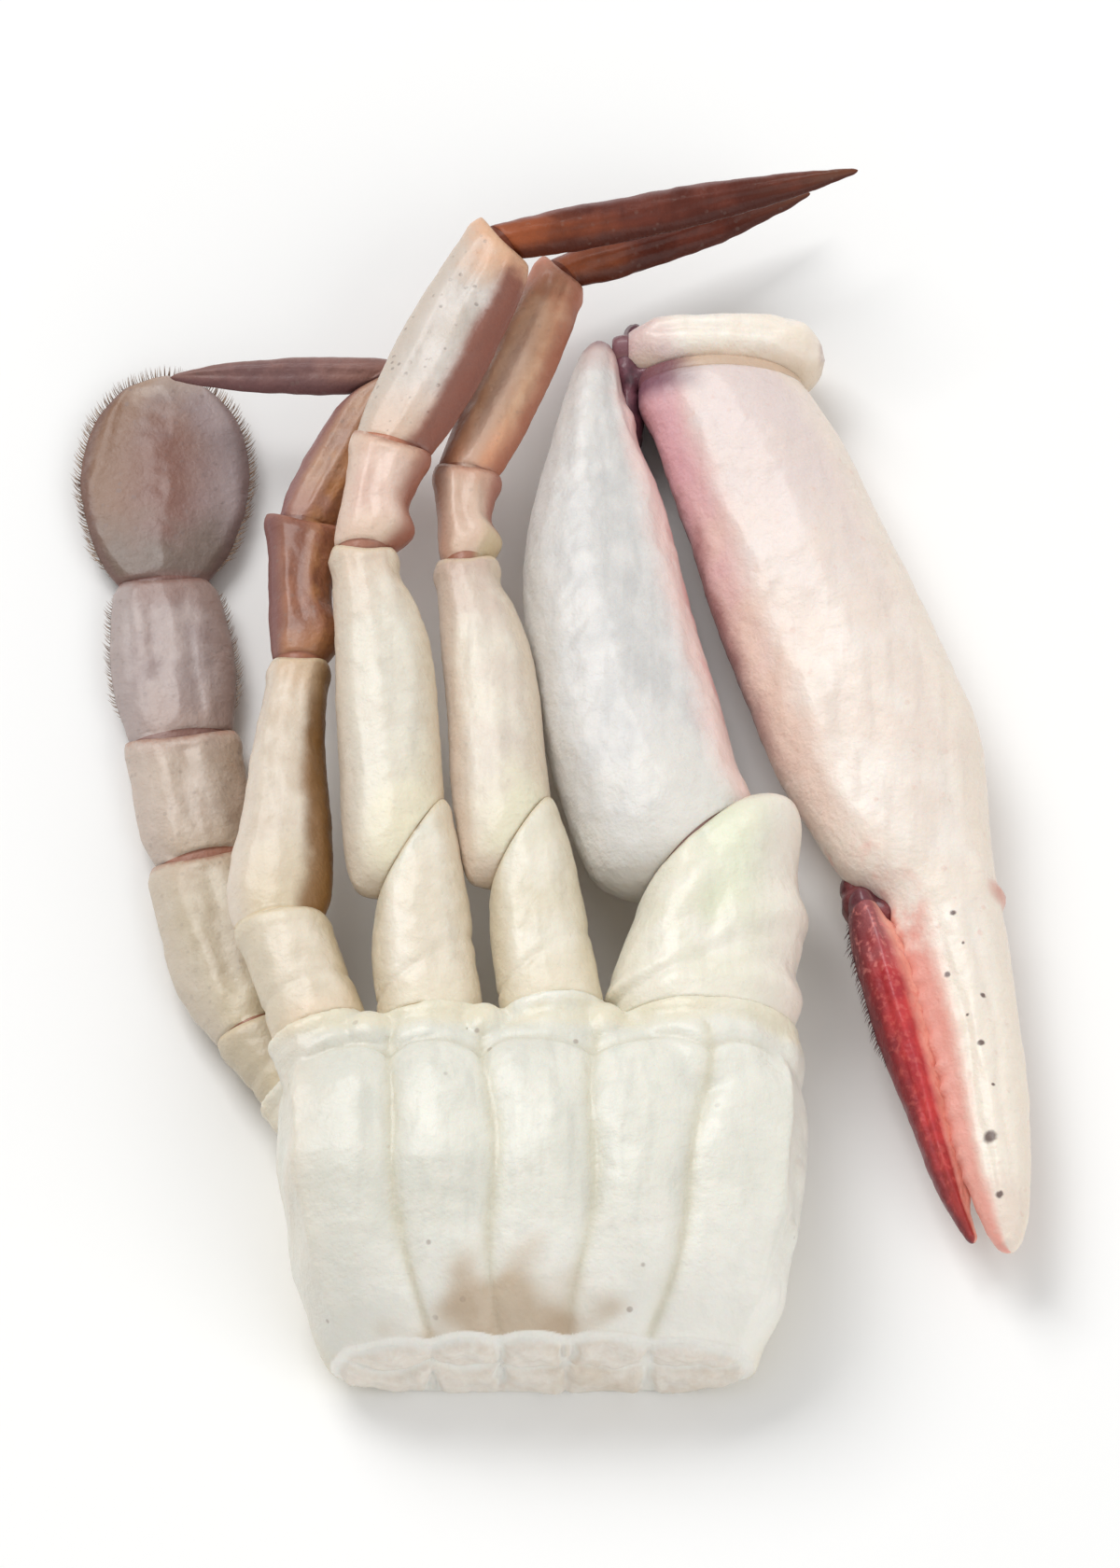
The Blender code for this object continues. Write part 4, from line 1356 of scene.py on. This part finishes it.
PALM_LAYERS = [
    # Pinkish near the wrist, cream along the fixed finger and on the outer side
    ((226, 209, 205), 0.85, ("along", 0.42, 0.03)),
    ((246, 236, 221), 0.8, ("along", 0.46, 0.8)),
    ((233, 216, 202), 0.7, ("along", 0.9, 1.0)),
    ((243, 228, 210), 0.7, ("across", -0.5, -0.95)),
    # The side that faces the arm: peach and pink, with painted shade along its edge; and coral beside the
    # moving finger
    ((238, 206, 188), 0.8, ("across", 0.46, 0.86), ("along", 0.64, 0.42)),
    ((226, 174, 184), 0.85, ("across", 0.50, 0.84), ("along", 0.36, 0.06)),
    ((160, 96, 102), 0.75, ("across", 0.86, 1.02), ("along", 0.52, 0.32), ("along", 0.06, 0.24)),
    ((236, 150, 136), 0.8, ("across", 0.35, 0.85), ("along", 0.58, 0.66)),
    # The floor side, and painted shade: a dark stripe above it on the side that faces the arm
    ((238, 212, 192), 0.75, ("above", -0.1, -0.8)),
    ((108, 54, 58), 0.92, ("across", 0.60, 0.94), ("above", 0.10, -0.25), ("along", 0.56, 0.38)),
    # Purple by the wrist, the red notch, specks and dark spots
    ((108, 60, 82), 0.85, ("to_start", 4.6, 1.0), ("across", 0.15, 0.8)),
    ((204, 128, 112), 0.7, ("notch", 0.3, 0.95)),
    ((226, 190, 176), 0.35, ("specks", 2.4, 0.2), ("fine", 0.42, 0.6)),
    ((84, 56, 52), 0.88, ("spots", FINGER_SPOTS, 0.6), ("above", 0.05, 0.3)),
    # Inside the joint
    ((206, 178, 152), 0.9, ("sunk", 0.0, 1.0)),
    ((116, 60, 78), 0.9, ("sunk", 0.0, 1.0), ("across", 0.2, 0.7)),
]
FINGER_LAYERS = [
    # Dull base, darker tip and back, and a pale cutting edge
    ((148, 80, 86), 0.9, ("along", 0.26, 0.04)),
    ((150, 48, 44), 0.85, ("along", 0.6, 0.98)),
    ((104, 30, 40), 0.85, ("across", 0.3, 0.95)),
    ((250, 182, 162), 0.92, ("across", -0.32, -0.84)),
    # Mottling, the floor side, and inside the joint
    ((214, 150, 148), 0.5, ("along", 0.36, 0.1), ("fine", 0.52, 0.68)),
    ((226, 110, 100), 0.4, ("fine", 0.5, 0.7), ("above", 0.2, 0.8)),
    ((96, 40, 46), 0.8, ("above", 0.0, -0.7)),
    ((100, 46, 58), 0.9, ("sunk", 0.0, 1.0)),
]
BLADE_LAYERS = [
    # Brown left side, mauve right side, dull base and brown middle
    ((130, 90, 58), 0.92, ("across", -0.1, -0.6)),
    ((166, 148, 148), 0.8, ("across", 0.15, 0.75)),
    ((116, 98, 86), 0.9, ("along", 0.42, 0.1)),
    ((128, 82, 66), 0.85, ("along", 0.06, 0.4), ("along", 0.98, 0.6), ("edge", 0.9, 0.1)),
    # Pale end, dark edge, specks, and the joint
    ((186, 164, 148), 0.6, ("along", 0.84, 1.0)),
    ((112, 84, 78), 0.7, ("edge", 0.84, 0.97)),
    ((120, 100, 96), 0.4, ("specks", 1.4, 0.3), ("fine", 0.4, 0.6)),
    ((120, 88, 80), 0.7, ("to_start", 1.2, 0.1)),
    ((124, 82, 72), 0.9, ("sunk", 0.0, 1.0)),
]
print("layers on the hand:", len(PALM_LAYERS))

# %% The finishes of the large pieces, the skins and the bristles
SKIN_LOOK = {"cloud_size": 1.8, "scatter": 0.12}
BRISTLE_LOOK = {"cloud_size": 3.0, "scatter": 0.0, "coat": 0.1}
FINISHES = {
    "body_half": shell_finish("body_shell", (236, 234, 222), (224, 223, 211), BODY_LAYERS, 8.0),
    "claw_merus": shell_finish("arm_shell", (226, 223, 219), (212, 210, 207), ARM_LAYERS),
    "claw_palm": shell_finish("hand_shell", (246, 236, 226), (240, 225, 213), PALM_LAYERS),
    "claw_finger": shell_finish(
        "crimson_shell", (206, 58, 60), (178, 40, 50), FINGER_LAYERS, 3.0, scatter=0.12,
    ),
    "paddle_blade": shell_finish("paddle_shell", (168, 147, 137), (148, 128, 124), BLADE_LAYERS, 4.0),
    "wrist_skin": shell_finish("purple_skin", (120, 72, 84), (84, 48, 60), [], **SKIN_LOOK),
    "finger_joint_skin": shell_finish("maroon_skin", (132, 62, 66), (92, 38, 46), [], **SKIN_LOOK),
    "paddle_fringe": shell_finish("pale_bristle", (172, 142, 116), (134, 102, 82), [], **BRISTLE_LOOK),
    "paddle_hand_fringe": shell_finish("grey_bristle", (180, 158, 140), (146, 118, 102), [], **BRISTLE_LOOK),
    "finger_fringe": shell_finish("dark_bristle", (104, 48, 54), (70, 30, 38), [], **BRISTLE_LOOK),
}
print("finishes so far:", len(FINISHES))

# %% Colours of the limbs' tubes
PALE_RIM = (222, 200, 164)
BROWN_RIM = (164, 104, 80)

# Light and dark of the mottling, root, tip, left, right, floor side, rim, and strength of the speckle
TUBES = {
    "claw_ischium": (
        (243, 238, 224), (235, 231, 212), (242, 236, 220), (236, 231, 212), (230, 224, 206), (243, 233, 220),
        (222, 206, 168), PALE_RIM, 0.0),
    "claw_carpus": (
        (253, 244, 233), (248, 237, 223), (222, 190, 188), (246, 230, 212), (250, 240, 228), (234, 216, 196),
        (226, 204, 180), (124, 74, 86), 0.0),
    "leg_middle_ischium": (
        (240, 232, 216), (232, 221, 201), (238, 227, 204), (236, 228, 210), (214, 199, 172), (222, 206, 180),
        (206, 184, 144), PALE_RIM, 0.0),
    "leg_middle_merus": (
        (233, 227, 212), (225, 217, 201), (237, 228, 198), (222, 198, 176), (208, 192, 172), (220, 204, 178),
        (204, 178, 130), PALE_RIM, 0.1),
    "leg_middle_carpus": (
        (232, 204, 188), (222, 190, 174), (228, 202, 180), (220, 184, 160), (214, 190, 172), (188, 140, 116),
        (184, 134, 108), BROWN_RIM, 0.15),
    "leg_middle_propodus": (
        (220, 211, 203), (208, 197, 186), (220, 188, 164), (226, 174, 134), (200, 186, 172), (144, 84, 64),
        (150, 92, 74), (186, 112, 78), 0.6),
    "leg_middle_dactyl": (
        (106, 50, 36), (84, 34, 22), (166, 88, 50), (112, 68, 48), (136, 104, 102), (72, 24, 10),
        (66, 24, 14), (104, 48, 28), 0.2),
    "leg_front_ischium": (
        (239, 232, 215), (231, 222, 200), (238, 227, 204), (235, 228, 210), (214, 200, 172), (220, 206, 178),
        (204, 182, 142), PALE_RIM, 0.0),
    "leg_front_merus": (
        (232, 223, 207), (224, 212, 197), (234, 228, 200), (202, 174, 158), (216, 196, 178), (220, 202, 178),
        (204, 178, 130), PALE_RIM, 0.1),
    "leg_front_carpus": (
        (220, 192, 172), (210, 178, 156), (222, 194, 172), (206, 160, 136), (196, 152, 130), (190, 142, 122),
        (172, 118, 96), BROWN_RIM, 0.15),
    "leg_front_propodus": (
        (216, 176, 144), (202, 154, 120), (222, 160, 124), (194, 124, 94), (148, 84, 60), (158, 88, 62),
        (140, 78, 58), BROWN_RIM, 0.2),
    "leg_front_dactyl": (
        (110, 54, 40), (88, 38, 26), (160, 88, 54), (112, 70, 52), (128, 94, 90), (74, 26, 12),
        (68, 26, 16), (106, 50, 32), 0.2),
    "leg_back_ischium": (
        (232, 220, 200), (222, 209, 187), (232, 212, 186), (226, 213, 190), (210, 196, 172), (208, 187, 150),
        (196, 170, 122), PALE_RIM, 0.0),
    # The back leg's merus has olive-brown painted shade down its right side
    "leg_back_merus": (
        (224, 211, 193), (213, 197, 177), (222, 206, 176), (212, 184, 154), (218, 204, 188), (154, 112, 54),
        (172, 134, 82), PALE_RIM, 0.1),
    "leg_back_carpus": (
        (164, 108, 80), (136, 85, 64), (180, 128, 94), (138, 86, 66), (114, 68, 68), (154, 98, 58),
        (116, 70, 50), BROWN_RIM, 0.3),
    "leg_back_propodus": (
        (188, 144, 112), (164, 120, 96), (164, 112, 92), (186, 146, 124), (130, 86, 88), (158, 108, 72),
        (126, 84, 68), (130, 78, 60), 0.3),
    "leg_back_dactyl": (
        (140, 104, 98), (120, 88, 86), (146, 104, 92), (132, 100, 92), (112, 76, 76), (144, 114, 108),
        (96, 62, 58), (104, 64, 58), 0.25),
    "paddle_ischium": (
        (214, 202, 178), (202, 188, 162), (214, 198, 166), (208, 192, 166), (196, 182, 158), (200, 182, 150),
        (188, 166, 128), PALE_RIM, 0.0),
    "paddle_merus": (
        (212, 199, 176), (196, 181, 156), (216, 202, 174), (200, 178, 154), (202, 189, 172), (192, 172, 142),
        (178, 156, 122), BROWN_RIM, 0.2),
    "paddle_carpus": (
        (206, 188, 172), (190, 170, 152), (202, 182, 160), (190, 164, 150), (196, 180, 168), (182, 156, 134),
        (170, 144, 116), BROWN_RIM, 0.25),
    "paddle_propodus": (
        (182, 164, 158), (162, 142, 138), (178, 154, 144), (152, 122, 112), (174, 160, 156), (156, 130, 120),
        (148, 122, 106), (132, 88, 76), 0.3),
}
print("tubes:", len(TUBES))

# %% Marks that only one tube has, and the tubes' finishes
# A leg's tip is horn, drier and denser than shell
TIP_LOOK = {"scatter": 0.08, "coat": 0.12, "shine": 0.2}
MARKS = {
    "claw_ischium": [
        ((226, 232, 200), 0.5, ("along", 0.3, 0.6), ("across", -0.3, 0.2), ("across", 0.8, 0.3)),
    ],
    # Painted shade: a darker band low on the wrist's front side, under its lit top
    "claw_carpus": [((214, 196, 172), 0.55, ("across", 0.5, 0.85), ("above", 0.9, 0.4))],
    "leg_middle_carpus": [((150, 88, 70), 0.85, ("across", 0.45, 0.85), ("above", 0.9, 0.3))],
    "leg_middle_propodus": [
        ((134, 76, 58), 0.92, ("across", 0.26, 0.62)),
        ((226, 178, 144), 0.8, ("along", 0.84, 0.98)),
    ],
    "leg_front_carpus": [
        ((158, 96, 78), 0.85, ("across", 0.5, 0.9), ("above", 0.9, 0.3)),
        ((218, 204, 164), 0.7, ("along", 0.4, 0.15), ("across", 0.2, 0.8)),
    ],
    "leg_front_propodus": [
        ((216, 182, 160), 0.8, ("edge", 0.55, 0.1), ("along", 0.9, 0.5)),
        ((200, 134, 108), 0.7, ("along", 0.84, 0.98)),
    ],
    "leg_back_carpus": [((190, 132, 84), 0.7, ("across", 0.0, 0.6), ("cloud", 0.45, 0.6))],
    "leg_back_propodus": [((192, 132, 74), 0.7, ("across", -0.1, 0.5), ("cloud", 0.42, 0.6))],
    # Painted shade, olive-brown, down the right flank of the back leg's merus
    "leg_back_merus": [((132, 90, 40), 0.85, ("across", 0.28, 0.68), ("along", 1.0, 0.72))],
}
for node, (light, dark, *ends, speckle) in TUBES.items():
    layers = limb_layers(*ends, speckle) + MARKS.get(node, [])
    look = TIP_LOOK if node.endswith("dactyl") else {}
    FINISHES[node] = shell_finish(f"{node}_finish", light, dark, layers, 5.0, **look)
print("finishes:", len(FINISHES))

# %% Lay the finishes, and put each piece in place of its solid
SLOTS = {subpart["node"]: subpart["material_slot"] for subpart in frame["record"]["subparts"]}
for name, piece in PIECES.items():
    piece.data.materials.append(FINISHES[name])
    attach(piece, "root")
    if name in SLOTS:
        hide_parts(name)
print("pieces finished:", len(PIECES))

# %% [markdown]
# Floor, light and camera
#
# The photo looks down on the crab in soft white light. The floor is plain and pale, a wide soft
# light hangs above and behind the left side, and a weak one fills from the right. The half leaned
# up in the photo and lies flat here, so the camera looks down more steeply to see the same side.

# %% Stage
FLOOR_HALF = 3.0
FLOOR_COLOUR = (250, 250, 249)
FLOOR_ROUGHNESS = 0.7
LIT_MIDDLE = Vector((0.0, 0.055, 0.01))

# Place in m, size in m and power of each soft light
LIGHTS = {"key_light": ((-1.1, 1.5, 2.1), 1.6, 43.0), "fill_light": ((1.4, -1.2, 1.4), 1.6, 14.0)}
WORLD_STRENGTH = 0.53


def add_floor():
    """A wide pale floor just under the part."""
    data = bpy.data.meshes.new("floor")
    corners = [(x * FLOOR_HALF, y * FLOOR_HALF, 0.0) for x, y in ((-1, -1), (1, -1), (1, 1), (-1, 1))]
    data.from_pydata(corners, [], [(0, 1, 2, 3)])
    floor = bpy.data.objects.new("floor", data)
    bpy.context.scene.collection.objects.link(floor)
    finish = Finish("pale_floor")
    finish.shader.inputs["Base Color"].default_value = colour(*FLOOR_COLOUR)
    finish.shader.inputs["Roughness"].default_value = FLOOR_ROUGHNESS
    data.materials.append(finish.material)
    floor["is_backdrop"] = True


def add_light(name, place, size, power):
    """A square soft light that faces the middle of the part."""
    lamp = bpy.data.lights.new(name, "AREA")
    lamp.shape = "SQUARE"
    lamp.size = size
    lamp.energy = power
    light = bpy.data.objects.new(name, lamp)
    bpy.context.scene.collection.objects.link(light)
    light.location = place
    light.rotation_euler = (LIT_MIDDLE - Vector(place)).to_track_quat("-Z", "Y").to_euler()


add_floor()
for name, (place, size, power) in LIGHTS.items():
    add_light(name, place, size, power)
world = bpy.data.worlds.new("studio")
world.use_nodes = True
world.node_tree.nodes["Background"].inputs["Color"].default_value = (1.0, 1.0, 1.0, 1.0)
world.node_tree.nodes["Background"].inputs["Strength"].default_value = WORLD_STRENGTH
bpy.context.scene.world = world
bpy.context.scene.view_settings.view_transform = "Standard"
print("lights:", list(LIGHTS))

# %% Camera
CAMERA_DISTANCE = 2.04
CAMERA_ELEVATION = math.radians(60.0)
FRAME_HEIGHT = 0.178
TARGET = Vector((0.002, 0.0545, 0.008))
SENSOR = 36.0

camera_data = bpy.data.cameras.new("camera")
camera_data.sensor_fit = "VERTICAL"
camera_data.sensor_height = SENSOR
camera_data.lens = SENSOR * CAMERA_DISTANCE / FRAME_HEIGHT
camera_data.clip_start = 0.05
camera_data.clip_end = 20.0
camera = bpy.data.objects.new("camera", camera_data)
bpy.context.scene.collection.objects.link(camera)
towards = Vector((0.0, -math.cos(CAMERA_ELEVATION), math.sin(CAMERA_ELEVATION)))
camera.location = TARGET + towards * CAMERA_DISTANCE
camera.rotation_euler = (-towards).to_track_quat("-Z", "Y").to_euler()
bpy.context.scene.camera = camera
print("camera lens in mm:", round(camera_data.lens))

# %% Sizes of the frame and of the finer meshes, then the end
size = {"cad": [list(corner) for corner in CAD_BOX], "visual": [list(corner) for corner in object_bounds()]}
